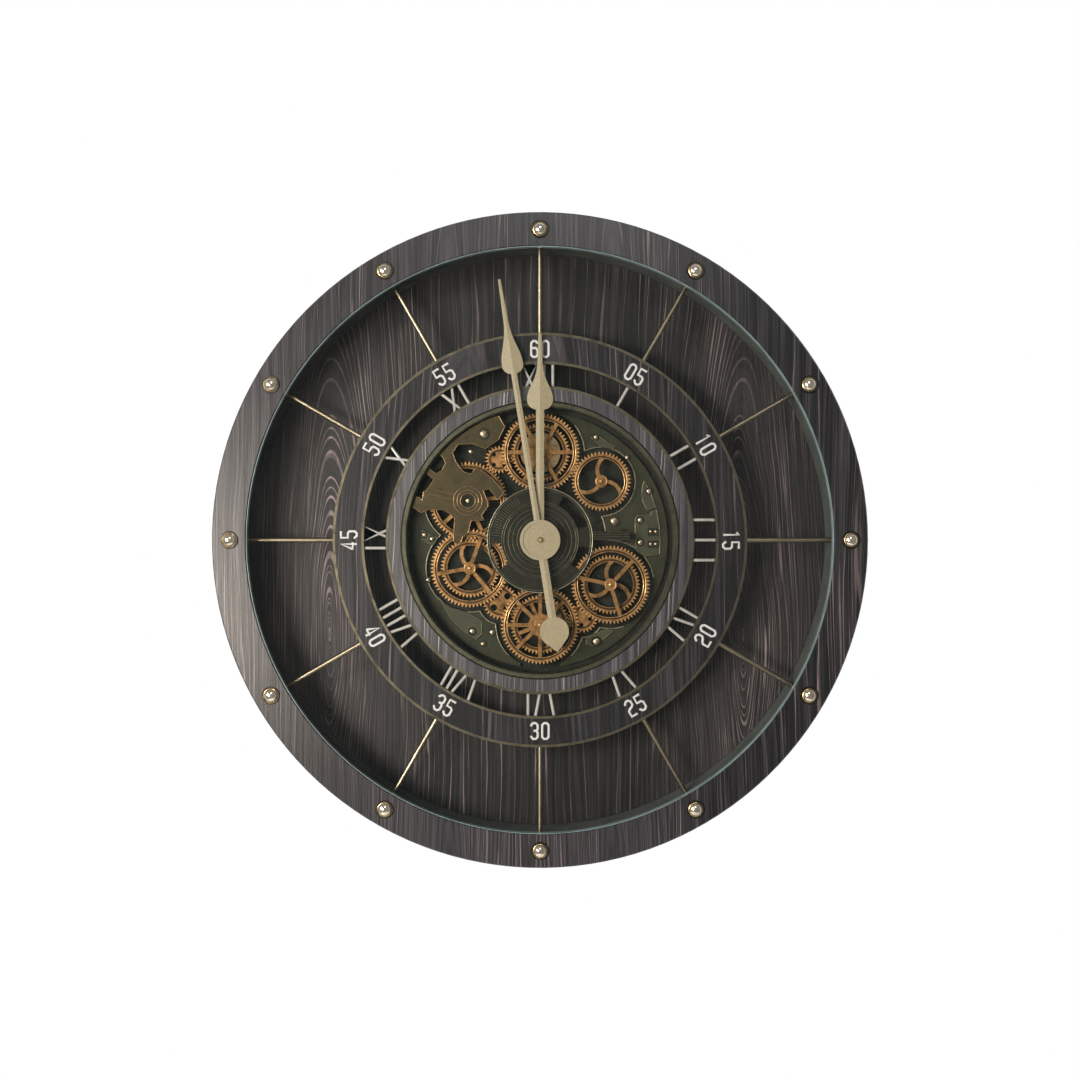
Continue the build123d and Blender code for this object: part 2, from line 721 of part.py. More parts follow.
# Lower right and left wheels: three straight spokes in front, a curved-spoke wheel behind
with BuildPart() as right_lower_gear:
    with BuildSketch(dial_plane(front_gear_back, right_lower_center)):
        ToothedDisc(large_teeth, 0)
        RegularPolygon(rim_bore(large_teeth), wheel_facets, mode=Mode.SUBTRACT)
        with PolarLocations(0, 3, start_angle=47):
            StraightSpoke(hub_radius, rim_bore(large_teeth))
        RegularPolygon(hub_radius, hub_facets)
    extrude(amount=gear_thickness)
    add_boss(hub_radius, hub_facets, front_gear_back, hub_front, right_lower_center)
    add_bore(right_lower_center, blind_front)
save(right_lower_gear, "right_lower_gear")
with BuildPart() as right_lower_gear_rear_wheel:
    with BuildSketch(dial_plane(rear_gear_back, right_lower_center)):
        ToothedDisc(small_teeth, right_lower_phase)
        RegularPolygon(rim_bore(small_teeth), wheel_facets, mode=Mode.SUBTRACT)
        with PolarLocations(0, 3, start_angle=0):
            CurvedSpoke(hub_radius, rim_bore(small_teeth))
        RegularPolygon(hub_radius, hub_facets)
    extrude(amount=gear_thickness)
    add_boss(sleeve_radius, hub_facets, rear_gear_back, front_gear_back, right_lower_center)
    add_bore(right_lower_center, front_gear_back)
save(right_lower_gear_rear_wheel, "right_lower_gear_rear_wheel")
with BuildPart() as left_gear:
    with BuildSketch(dial_plane(front_gear_back, left_center)):
        ToothedDisc(large_teeth, 0)
        RegularPolygon(rim_bore(large_teeth), wheel_facets, mode=Mode.SUBTRACT)
        with PolarLocations(0, 3, start_angle=70):
            StraightSpoke(hub_radius, rim_bore(large_teeth))
        RegularPolygon(hub_radius, hub_facets)
    extrude(amount=gear_thickness)
    add_boss(hub_radius, hub_facets, front_gear_back, hub_front, left_center)
    add_bore(left_center, blind_front)
save(left_gear, "left_gear")
with BuildPart() as left_gear_rear_wheel:
    with BuildSketch(dial_plane(rear_gear_back, left_center)):
        ToothedDisc(small_teeth, left_phase)
        RegularPolygon(rim_bore(small_teeth), wheel_facets, mode=Mode.SUBTRACT)
        with PolarLocations(0, 3, start_angle=20):
            CurvedSpoke(hub_radius, rim_bore(small_teeth))
        RegularPolygon(hub_radius, hub_facets)
    extrude(amount=gear_thickness)
    add_boss(sleeve_radius, hub_facets, rear_gear_back, front_gear_back, left_center)
    add_bore(left_center, front_gear_back)
save(left_gear_rear_wheel, "left_gear_rear_wheel")

# Bottom wheel: eight straight spokes, a smaller wheel behind, both fast on the motor's shaft
motor_back = base_back - motor_depth
shaft_back = base_back - motor_bore_depth
with BuildPart() as bottom_gear:
    with BuildSketch(dial_plane(front_gear_back, bottom_center)):
        ToothedDisc(large_teeth, 0)
        RegularPolygon(rim_bore(large_teeth), wheel_facets, mode=Mode.SUBTRACT)
        with PolarLocations(0, 8):
            StraightSpoke(ring_hub_radius, rim_bore(large_teeth))
        RegularPolygon(ring_hub_radius, hub_facets)
    extrude(amount=gear_thickness)
    add_boss(hub_radius, hub_facets, front_gear_back, hub_front, bottom_center)
    add_disc(arbor_radius, front_gear_back, hub_front - hub_cap, bottom_center, mode=Mode.SUBTRACT)
save(bottom_gear, "bottom_gear")
with BuildPart() as bottom_gear_rear_wheel:
    with BuildSketch(dial_plane(rear_gear_back, bottom_center)):
        ToothedDisc(small_teeth, bottom_phase)
        RegularPolygon(rim_bore(small_teeth), wheel_facets, mode=Mode.SUBTRACT)
        with PolarLocations(0, 4, start_angle=22.5):
            StraightSpoke(rear_hub_radius, rim_bore(small_teeth))
        RegularPolygon(rear_hub_radius, hub_facets)
    extrude(amount=gear_thickness)
    add_boss(sleeve_radius, hub_facets, rear_gear_back, front_gear_back, bottom_center)
    add_disc(arbor_radius, rear_gear_back, front_gear_back, bottom_center, mode=Mode.SUBTRACT)
save(bottom_gear_rear_wheel, "bottom_gear_rear_wheel")
with BuildPart() as motor_shaft:
    add_disc(arbor_radius, shaft_back, hub_front - hub_cap, bottom_center)
save(motor_shaft, "motor_shaft")

# Wheel under the bridge: a single rear wheel with five spokes
with BuildPart() as bridge_gear:
    with BuildSketch(dial_plane(rear_gear_back, bridge_center)):
        ToothedDisc(large_teeth, bridge_phase)
        RegularPolygon(rim_bore(large_teeth), wheel_facets, mode=Mode.SUBTRACT)
        with PolarLocations(0, 5, start_angle=222):
            StraightSpoke(rear_hub_radius, rim_bore(large_teeth))
        RegularPolygon(rear_hub_radius, hub_facets)
    extrude(amount=gear_thickness)
    add_boss(sleeve_radius, hub_facets, rear_gear_back, front_gear_front, bridge_center)
    add_bore(bridge_center, front_gear_front)
save(bridge_gear, "bridge_gear")

# Idlers: solid discs with four holes, in the rear layer
with BuildPart() as upper_idler:
    with BuildSketch(dial_plane(rear_gear_back, upper_idler_center)):
        ToothedDisc(upper_idler_teeth, upper_idler_phase)
        with PolarLocations(small_idler_hole_circle, 4, start_angle=45):
            RegularPolygon(small_idler_hole_radius, hole_facets, mode=Mode.SUBTRACT)
    extrude(amount=gear_thickness)
    add_boss(
        idler_hub_radius,
        hub_facets,
        rear_gear_back,
        rear_gear_front + idler_hub_rise,
        upper_idler_center,
    )
    add_bore(upper_idler_center, idler_blind_front)
save(upper_idler, "upper_idler")
with BuildPart() as left_idler:
    with BuildSketch(dial_plane(rear_gear_back, left_idler_center)):
        ToothedDisc(left_idler_teeth, left_idler_phase)
        with PolarLocations(idler_hole_circle, 4, start_angle=40):
            RegularPolygon(idler_hole_radius, hole_facets, mode=Mode.SUBTRACT)
    extrude(amount=gear_thickness)
    add_boss(
        idler_hub_radius,
        hub_facets,
        rear_gear_back,
        rear_gear_front + idler_hub_rise,
        left_idler_center,
    )
    add_bore(left_idler_center, idler_blind_front)
save(left_idler, "left_idler")
with BuildPart() as right_idler:
    with BuildSketch(dial_plane(rear_gear_back, right_idler_center)):
        ToothedDisc(right_idler_teeth, right_idler_phase)
        with PolarLocations(small_idler_hole_circle, 4, start_angle=80):
            RegularPolygon(small_idler_hole_radius, hole_facets, mode=Mode.SUBTRACT)
    extrude(amount=gear_thickness)
    add_boss(
        idler_hub_radius,
        hub_facets,
        rear_gear_back,
        rear_gear_front + idler_hub_rise,
        right_idler_center,
    )
    add_bore(right_idler_center, idler_blind_front)
save(right_idler, "right_idler")

# Bridge over the upper left wheel, an irregular cast plate; its outlines are seen from its boss
with BuildPart() as gear_bridge:
    with BuildSketch(dial_plane(bridge_back, bridge_center)):
        for outline in (bridge_body, bridge_arm, bridge_pawl, bridge_crown, bridge_tail):
            Polygon(*outline, align=None)
        with Locations((-bridge_center[0], -bridge_center[1])):
            Circle(bezel_inner - bridge_gap, mode=Mode.INTERSECT)
            Circle(spider_ring_outer + bridge_gap, mode=Mode.SUBTRACT)
    extrude(amount=bridge_thickness)
    with BuildSketch(dial_plane(bridge_front, bridge_center)):
        with Locations(Location((0, 0), bridge_rib_angle)):
            with Locations((bridge_rib_length / 2, 0)):
                Rectangle(bridge_rib_length, bridge_rib_width)
        RegularPolygon(bridge_boss_radius, wheel_facets)
    extrude(amount=bridge_rib_height)
    add_boss(
        jewel_radius,
        hub_facets,
        bridge_back,
        bridge_front + bridge_rib_height,
        bridge_center,
        mode=Mode.SUBTRACT,
    )
save(gear_bridge, "gear_bridge")
with BuildPart() as bridge_jewel:
    add_boss(jewel_radius, hub_facets, bridge_back, bridge_back + bridge_rib_height, bridge_center)
    with BuildSketch(dial_plane(bridge_back, bridge_center)):
        RegularPolygon(jewel_radius, hub_facets)
        RegularPolygon(jewel_radius - jewel_rim, hub_facets, mode=Mode.SUBTRACT)
        RegularPolygon(jewel_pin_radius, hole_facets)
    extrude(amount=bridge_thickness)
save(bridge_jewel, "bridge_jewel")

# Centre spider: a rimmed disc on three posts, with an outer ring that passes in front of the wheels
spider_windows = [(16, 62), (184, 216), (322, 351)]
with BuildPart() as center_spider:
    with BuildSketch(dial_plane(bridge_back)):
        Circle(spider_ring_outer)
        for first, last in spider_windows:
            with BuildLine():
                near = CenterArc((0, 0), spider_disc_radius, first, last - first)
                far = CenterArc((0, 0), spider_ring_inner, first, last - first)
                Line(near @ 0, far @ 0)
                Line(near @ 1, far @ 1)
            make_face(mode=Mode.SUBTRACT)
        with Locations((strap_end, strap_height)):
            Rectangle(strap_reach + spider_ring_width, strap_width, align=(Align.MAX, Align.CENTER))
    extrude(amount=bridge_thickness)
    with BuildSketch(dial_plane(bridge_front)):
        RegularPolygon(spider_disc_radius, spider_facets)
        RegularPolygon(spider_disc_radius - spider_rim_width, spider_facets, mode=Mode.SUBTRACT)
    extrude(amount=spider_step_height)
    add_disc(
        movement_neck_radius + spider_bore_clearance, bridge_back, bridge_front, mode=Mode.SUBTRACT
    )
save(center_spider, "center_spider")

# Quartz movement with its threaded neck and a bay for one cell
hour_pipe_radius = minute_arbor_radius + running_clearance + hour_pipe_wall
movement_back = base_back - movement_depth
neck_front = base_front + movement_nut_thickness + hub_cap
pipe_back = base_back - pipe_insertion
movement_bay_floor = movement_back + 2 * cell_radius + cell_clearance
with BuildPart() as quartz_movement:
    with BuildSketch(dial_plane(movement_back)):
        Rectangle(movement_size, movement_size)
    extrude(amount=movement_depth)
    add_disc(movement_neck_radius, base_back, neck_front)
    add_disc(hour_pipe_radius + running_clearance, pipe_back - axial_play, neck_front, mode=Mode.SUBTRACT)
    add_disc(minute_arbor_radius + running_clearance, movement_back, pipe_back, mode=Mode.SUBTRACT)
    with BuildSketch(dial_plane(movement_back, (0, -movement_cell_drop))):
        Rectangle(cell_length + 2 * cell_clearance, 2 * (cell_radius + cell_clearance))
    extrude(amount=2 * cell_radius + cell_clearance, mode=Mode.SUBTRACT)
save(quartz_movement, "quartz_movement")
with BuildPart() as movement_cell:
    with BuildSketch(
        Plane(
            origin=(-cell_length / 2, -(movement_bay_floor - cell_radius), -movement_cell_drop),
            z_dir=(1, 0, 0),
        )
    ):
        Circle(cell_radius)
    extrude(amount=cell_length)
save(movement_cell, "movement_cell")
with BuildPart() as movement_nut:
    with BuildSketch(dial_plane(base_front)):
        RegularPolygon(movement_nut_radius, 6)
        Circle(movement_neck_radius, mode=Mode.SUBTRACT)
    extrude(amount=movement_nut_thickness)
save(movement_nut, "movement_nut")

# Hour hand on its pipe
with BuildPart() as hour_hand:
    hour_plane = dial_plane(hour_back)
    with BuildSketch(hour_plane):
        SpadeHand(
            hour_stem_half_width,
            hour_bulge_bottom,
            hour_bulge_at,
            hour_bulge_half_width,
            hour_neck_at,
            hour_neck_half_width,
            hour_length,
            hour_tip_half_width,
        )
    extrude(amount=hour_ridge)
    add_roof(hour_plane, hour_ridge, hour_bulge_half_width, hour_length)
    add_disc(hour_hub_radius, hour_back, hour_front)
    add_disc(hour_pipe_radius, hour_back, hour_front, mode=Mode.SUBTRACT)
save(hour_hand, "hour_hand")
with BuildPart() as hour_pipe:
    add_ring(minute_arbor_radius + running_clearance, hour_pipe_radius, pipe_back, hour_front)
save(hour_pipe, "hour_pipe")

# Minute hand with its counterweight, hub, arbor, nut and the setting knob behind
with BuildPart() as minute_hand:
    minute_plane = dial_plane(minute_back, turn=minute_hand_turn)
    with BuildSketch(minute_plane):
        SpadeHand(
            minute_stem_half_width,
            minute_bulge_bottom,
            minute_bulge_at,
            minute_bulge_half_width,
            minute_neck_at,
            minute_neck_half_width,
            minute_length,
            minute_tip_half_width,
        )
        with Locations((0, -tail_weight_at / 2)):
            Rectangle(2 * tail_half_width, tail_weight_at)
    extrude(amount=minute_ridge)
    add_roof(minute_plane, minute_ridge, minute_bulge_half_width, minute_length)
    tip_turn = degrees(asin(tail_weight_radius / (tail_tip_at - tail_weight_at)))
    with BuildSketch(minute_plane):
        with Locations((0, -tail_weight_at)):
            Circle(tail_weight_radius)
            Polygon(
                polar(tail_weight_radius, 180 + tip_turn),
                (0, tail_weight_at - tail_tip_at),
                polar(tail_weight_radius, -tip_turn),
                align=None,
            )
    extrude(amount=minute_ridge)
    add_disc(minute_hub_radius, minute_back, minute_front)
    add_disc(
        minute_hub_radius - minute_hub_rim,
        minute_back + minute_ridge,
        minute_front,
        mode=Mode.SUBTRACT,
    )
    add_disc(minute_arbor_radius, minute_back, minute_front, mode=Mode.SUBTRACT)
save(minute_hand, "minute_hand")
knob_front = movement_back - knob_gap
with BuildPart() as minute_arbor:
    add_disc(minute_arbor_radius, knob_front - knob_thickness, minute_back + minute_ridge)
save(minute_arbor, "minute_arbor")
with BuildPart() as hand_nut:
    add_boss(hand_nut_radius, hole_facets, minute_back + minute_ridge, nut_front)
    chamfer(hand_nut.faces().sort_by(Axis.Y)[0].edges(), hand_nut_radius / 3)
save(hand_nut, "hand_nut")
with BuildPart() as set_knob:
    add_boss(knob_radius, knob_flutes, knob_front - knob_thickness, knob_front)
    add_disc(minute_arbor_radius, knob_front - knob_thickness, knob_front, mode=Mode.SUBTRACT)
save(set_knob, "set_knob")

# Motor of the gear train, fixed behind the base plate
with BuildPart() as gear_motor:
    add_disc(motor_radius, motor_back, base_back, bottom_center)
    add_disc(
        arbor_radius + running_clearance,
        shaft_back - axial_play,
        base_back,
        bottom_center,
        mode=Mode.SUBTRACT,
    )
save(gear_motor, "gear_motor")

# Battery box of the motor, with two cells, a lid that slides up in rails and a slide switch below
box_center = (-battery_box_offset, 0)
bay_width = 4 * cell_radius + 3 * cell_clearance
bay_length = cell_length + 2 * cell_clearance
box_width = bay_width + 2 * battery_wall
box_length = bay_length + 2 * battery_wall
box_depth = battery_floor + 2 * cell_radius + cell_clearance
box_back = base_back - box_depth
lid_front = box_back - lid_gap
lid_back = lid_front - lid_thickness
rail_back = lid_back - lid_gap - rail_lip
switch_center = (box_center[0], -box_length / 2 - switch_block_height / 2)
switch_back = base_back - box_depth
with BuildPart() as battery_box:
    with BuildSketch(dial_plane(box_back, box_center)):
        Rectangle(box_width, box_length)
    extrude(amount=box_depth)
    with BuildSketch(dial_plane(box_back, box_center)):
        Rectangle(bay_width, bay_length)
    extrude(amount=box_depth - battery_floor, mode=Mode.SUBTRACT)
    with BuildSketch(dial_plane(rail_back, box_center)):
        for side in (-1, 1):
            with Locations((side * (box_width + rail_width) / 2, 0)):
                Rectangle(rail_width, box_length)
    extrude(amount=base_back - rail_back)
    with BuildSketch(dial_plane(rail_back, box_center)):
        for side in (-1, 1):
            with Locations((side * (box_width - rail_lip) / 2, 0)):
                Rectangle(rail_lip, box_length)
    extrude(amount=rail_lip)
    with BuildSketch(dial_plane(switch_back, switch_center)):
        Rectangle(switch_block_length, switch_block_height)
    extrude(amount=box_depth)
    with BuildSketch(dial_plane(switch_back, switch_center)):
        Rectangle(switch_slider + switch_travel + 2 * switch_gap, switch_slider + 2 * switch_gap)
    extrude(amount=switch_slot_depth, mode=Mode.SUBTRACT)
save(battery_box, "battery_box")
with BuildPart() as battery_cells:
    for side in (-1, 1):
        cell_x = box_center[0] + side * (cell_radius + cell_clearance / 2)
        cell_depth = base_back - battery_floor - cell_radius
        with BuildSketch(Plane(origin=(cell_x, -cell_depth, -cell_length / 2), z_dir=(0, 0, 1))):
            Circle(cell_radius)
        extrude(amount=cell_length)
save(battery_cells, "battery_cells")
with BuildPart() as battery_lid:
    with BuildSketch(dial_plane(lid_back, box_center)):
        Rectangle(box_width - 2 * lid_gap, box_length)
    extrude(amount=lid_thickness)
save(battery_lid, "battery_lid")
with BuildPart() as power_switch:
    slider_center = (switch_center[0] - switch_travel / 2, switch_center[1])
    slider_height = switch_slot_depth - switch_gap + switch_slider / 2
    with BuildSketch(dial_plane(switch_back - switch_slider / 2, slider_center)):
        Rectangle(switch_slider, switch_slider)
    extrude(amount=slider_height)
save(power_switch, "power_switch")
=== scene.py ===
import logging
import math
from dataclasses import dataclass, replace
from enum import Enum
from typing import Sequence, Union

import bmesh
import bpy
from mathutils import Matrix, Vector


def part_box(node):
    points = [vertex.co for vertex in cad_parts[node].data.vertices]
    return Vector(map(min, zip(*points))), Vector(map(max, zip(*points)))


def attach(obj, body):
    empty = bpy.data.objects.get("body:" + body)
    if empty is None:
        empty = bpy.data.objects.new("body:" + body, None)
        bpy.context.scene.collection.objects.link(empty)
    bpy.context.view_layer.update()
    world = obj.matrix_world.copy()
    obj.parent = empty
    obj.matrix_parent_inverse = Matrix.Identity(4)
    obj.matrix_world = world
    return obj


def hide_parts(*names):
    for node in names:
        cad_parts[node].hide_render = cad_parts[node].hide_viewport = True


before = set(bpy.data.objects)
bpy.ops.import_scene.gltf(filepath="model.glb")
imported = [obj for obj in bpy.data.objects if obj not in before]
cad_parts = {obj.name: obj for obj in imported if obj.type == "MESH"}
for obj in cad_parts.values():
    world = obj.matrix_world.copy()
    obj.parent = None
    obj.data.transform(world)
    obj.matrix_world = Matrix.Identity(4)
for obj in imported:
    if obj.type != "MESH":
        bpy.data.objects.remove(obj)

# Round wall clock with an open gear train: what is seen of it, on the bodies of its CAD model.
# Metres. The clock faces -Y, +X is to the right of someone who faces it and +Z is up. A depth is a
# distance in front of the wall, and an angle on the dial runs clockwise from twelve, in degrees.

Color = tuple[float, float, float, float]
Point = tuple[float, float]
Triple = tuple[float, float, float]
Mesh = bmesh.types.BMesh
Node = bpy.types.Node
Socket = bpy.types.NodeSocket
Sockets = bpy.types.NodeOutputs
Value = Union[float, Color, Socket]

LOG = logging.getLogger("gear_clock")
MM = 0.001
ORIGIN: Triple = (0.0, 0.0, 0.0)
MIDDLE: Point = (0.0, 0.0)
FULL_TURN = 360.0
HOURS = 12
HOUR_ANGLE = FULL_TURN / HOURS
# Distance within which two points of a mesh are joined
WELD = 1e-6
# Angle in degrees from which an edge between two faces stays sharp
SHARP_FROM = 32.0
# Angle in degrees up to which two faces of a CAD node count as one flat side
FLAT_UP_TO = 1.0
# Angle in radians from which an outward corner of a CAD node counts as an edge
EDGE_FROM = 0.6
# Sides of a bead's section and of a screw's head
BEAD_SIDES = 8
HEAD_SIDES = 24


class Body(Enum):
    """The CAD bodies that pieces ride on."""

    CASE = "case"
    TOP = "top_train"
    RIGHT_UPPER = "right_upper_wheel"
    RIGHT_LOWER = "right_lower_train"
    BOTTOM = "bottom_train"
    LEFT = "left_train"
    BRIDGE = "bridge_wheel"
    LID = "lid_body"


# The wheels that carry beads, with the bodies that they turn with
WHEELS: dict[str, Body] = {
    "top_gear": Body.TOP,
    "right_upper_gear": Body.RIGHT_UPPER,
    "right_lower_gear": Body.RIGHT_LOWER,
    "bottom_gear": Body.BOTTOM,
    "left_gear": Body.LEFT,
    "bridge_gear": Body.BRIDGE,
}
IDLERS = ("upper_idler", "left_idler", "right_idler")
REAR_WHEELS = (
    "top_gear_rear_wheel",
    "right_lower_gear_rear_wheel",
    "bottom_gear_rear_wheel",
    "left_gear_rear_wheel",
)


def gray(level: float) -> Color:
    """Returns a neutral colour."""
    return (level, level, level, 1.0)


# Shader nodes


class Graph:
    """Adds and wires the nodes of one shader tree."""

    def __init__(self, tree: bpy.types.NodeTree) -> None:
        """Keeps the tree that the nodes go in."""
        self.tree = tree

    def node(self, kind: str, **settings: object) -> Node:
        """Adds a node and sets its properties.

        Args:
            kind: Type name of the node.
            settings: Properties of the node and their values.

        Returns:
            The new node.
        """
        made = self.tree.nodes.new(kind)
        for name, value in settings.items():
            setattr(made, name, value)
        return made

    def feed(self, socket: Socket, value: object) -> None:
        """Wires an input to another node, or sets a plain value on it.

        Args:
            socket: The input.
            value: An output to wire it to, or the value.
        """
        if isinstance(value, Socket):
            self.tree.links.new(value, socket)
        else:
            socket.default_value = value

    def math(self, operation: str, first: Value, second: Value = 0.0, clamp: bool = False) -> Socket:
        """Adds one operation on two values.

        Args:
            operation: Name of the operation.
            first: First value.
            second: Second value.
            clamp: Whether the result is held between 0 and 1.

        Returns:
            The result.
        """
        made = self.node("ShaderNodeMath", operation=operation, use_clamp=clamp)
        self.feed(made.inputs[0], first)
        self.feed(made.inputs[1], second)
        return made.outputs[0]

    def plus(self, first: Value, second: Value, clamp: bool = False) -> Socket:
        """Returns the sum of two values."""
        return self.math("ADD", first, second, clamp)

    def minus(self, first: Value, second: Value) -> Socket:
        """Returns the difference of two values."""
        return self.math("SUBTRACT", first, second)

    def times(self, first: Value, second: Value) -> Socket:
        """Returns the product of two values."""
        return self.math("MULTIPLY", first, second)

    def span(
        self, value: Value, low: float, high: float, to_low: float = 0.0, to_high: float = 1.0
    ) -> Socket:
        """Carries a value from one range to another and holds it there.

        Args:
            value: The value.
            low: Start of the range that it comes from.
            high: End of that range.
            to_low: What the start becomes.
            to_high: What the end becomes.

        Returns:
            The new value.
        """
        made = self.node("ShaderNodeMapRange", clamp=True)
        ends = {"From Min": low, "From Max": high, "To Min": to_low, "To Max": to_high}
        for name, number in ends.items():
            made.inputs[name].default_value = number
        self.feed(made.inputs["Value"], value)
        return made.outputs["Result"]

    def mix(self, factor: Value, first: Value, second: Value) -> Socket:
        """Mixes two colours.

        Args:
            factor: Share of the second colour.
            first: First colour.
            second: Second colour.

        Returns:
            The mixed colour.
        """
        made = self.node("ShaderNodeMix", data_type="RGBA")
        self.feed(made.inputs[0], factor)
        self.feed(made.inputs[6], first)
        self.feed(made.inputs[7], second)
        return made.outputs[2]

    def parts(self, vector: Socket) -> Sockets:
        """Splits a vector.

        Args:
            vector: The vector.

        Returns:
            Its X, Y and Z.
        """
        made = self.node("ShaderNodeSeparateXYZ")
        self.feed(made.inputs[0], vector)
        return made.outputs

    def stretch(self, vector: Socket, scale: Triple, shift: Triple = ORIGIN) -> Socket:
        """Scales a vector and then shifts it.

        Args:
            vector: The vector.
            scale: Scale along each axis.
            shift: Shift along each axis.

        Returns:
            The new vector.
        """
        made = self.node("ShaderNodeMapping")
        made.inputs["Location"].default_value = shift
        made.inputs["Scale"].default_value = scale
        self.feed(made.inputs["Vector"], vector)
        return made.outputs["Vector"]

    def noise(self, vector: Socket, scale: Value, detail: float = 3.0, roughness: float = 0.55) -> Socket:
        """Adds a noise texture.

        Args:
            vector: Where it is looked up.
            scale: Waves per metre.
            detail: Number of finer layers.
            roughness: Strength of each layer as a part of the one before.

        Returns:
            Its value.
        """
        made = self.node("ShaderNodeTexNoise")
        made.inputs["Detail"].default_value = detail
        made.inputs["Roughness"].default_value = roughness
        self.feed(made.inputs["Scale"], scale)
        self.feed(made.inputs["Vector"], vector)
        return made.outputs[0]

    def streaks(
        self,
        vector: Socket,
        waves: Triple,
        shift: Triple = ORIGIN,
        detail: float = 3.0,
        roughness: float = 0.55,
    ) -> Socket:
        """Returns the value of a noise that has its own number of waves along each axis."""
        return self.noise(self.stretch(vector, waves, shift), 1.0, detail, roughness)

    def bump(self, height: Socket, strength: float, distance: float) -> Socket:
        """Makes a normal that follows a height.

        Args:
            height: The height, from 0 to 1.
            strength: Strength of the effect.
            distance: Height that 1 stands for.

        Returns:
            The normal.
        """
        made = self.node("ShaderNodeBump")
        made.inputs["Strength"].default_value = strength
        made.inputs["Distance"].default_value = distance
        self.feed(made.inputs["Height"], height)
        return made.outputs["Normal"]

    def place(self) -> Socket:
        """Returns the object's own coordinates."""
        return self.node("ShaderNodeTexCoord").outputs["Object"]


@dataclass(frozen=True)
class Pattern:
    """A node group that draws a pattern at a vector.

    Attributes:
        name: Name of the group.
        inputs: Names of its inputs besides the vector, which are values.
        outputs: Names of its outputs, which are values.
    """

    name: str
    inputs: tuple[str, ...]
    outputs: tuple[str, ...]

    def group(self) -> bpy.types.NodeTree:
        """Builds the node group at its first use.

        Returns:
            The group.
        """
        known = bpy.data.node_groups.get(self.name)
        if known is not None:
            return known
        tree = bpy.data.node_groups.new(self.name, "ShaderNodeTree")
        tree.interface.new_socket(name="Vector", in_out="INPUT", socket_type="NodeSocketVector")
        for label in self.inputs:
            tree.interface.new_socket(name=label, in_out="INPUT", socket_type="NodeSocketFloat")
        for label in self.outputs:
            tree.interface.new_socket(name=label, in_out="OUTPUT", socket_type="NodeSocketFloat")
        graph = Graph(tree)
        drawn = self.draw(graph, graph.node("NodeGroupInput").outputs)
        result = graph.node("NodeGroupOutput")
        for label, value in drawn.items():
            graph.feed(result.inputs[label], value)
        return tree

    def draw(self, graph: Graph, given: Sockets) -> dict[str, Socket]:
        """Adds the pattern's nodes to the group.

        Args:
            graph: Graph on the group.
            given: The group's inputs.

        Returns:
            What goes to the group's outputs, by their names.
        """
        raise NotImplementedError

    def use(self, graph: Graph, vector: Socket, **values: float) -> Sockets:
        """Adds the pattern to a material.

        Args:
            graph: Graph on the material.
            vector: Where the pattern is looked up.
            values: The group's other inputs.

        Returns:
            The group's outputs.
        """
        made = graph.node("ShaderNodeGroup", node_tree=self.group())
        graph.feed(made.inputs["Vector"], vector)
        for label, value in values.items():
            graph.feed(made.inputs[label], value)
        return made.outputs


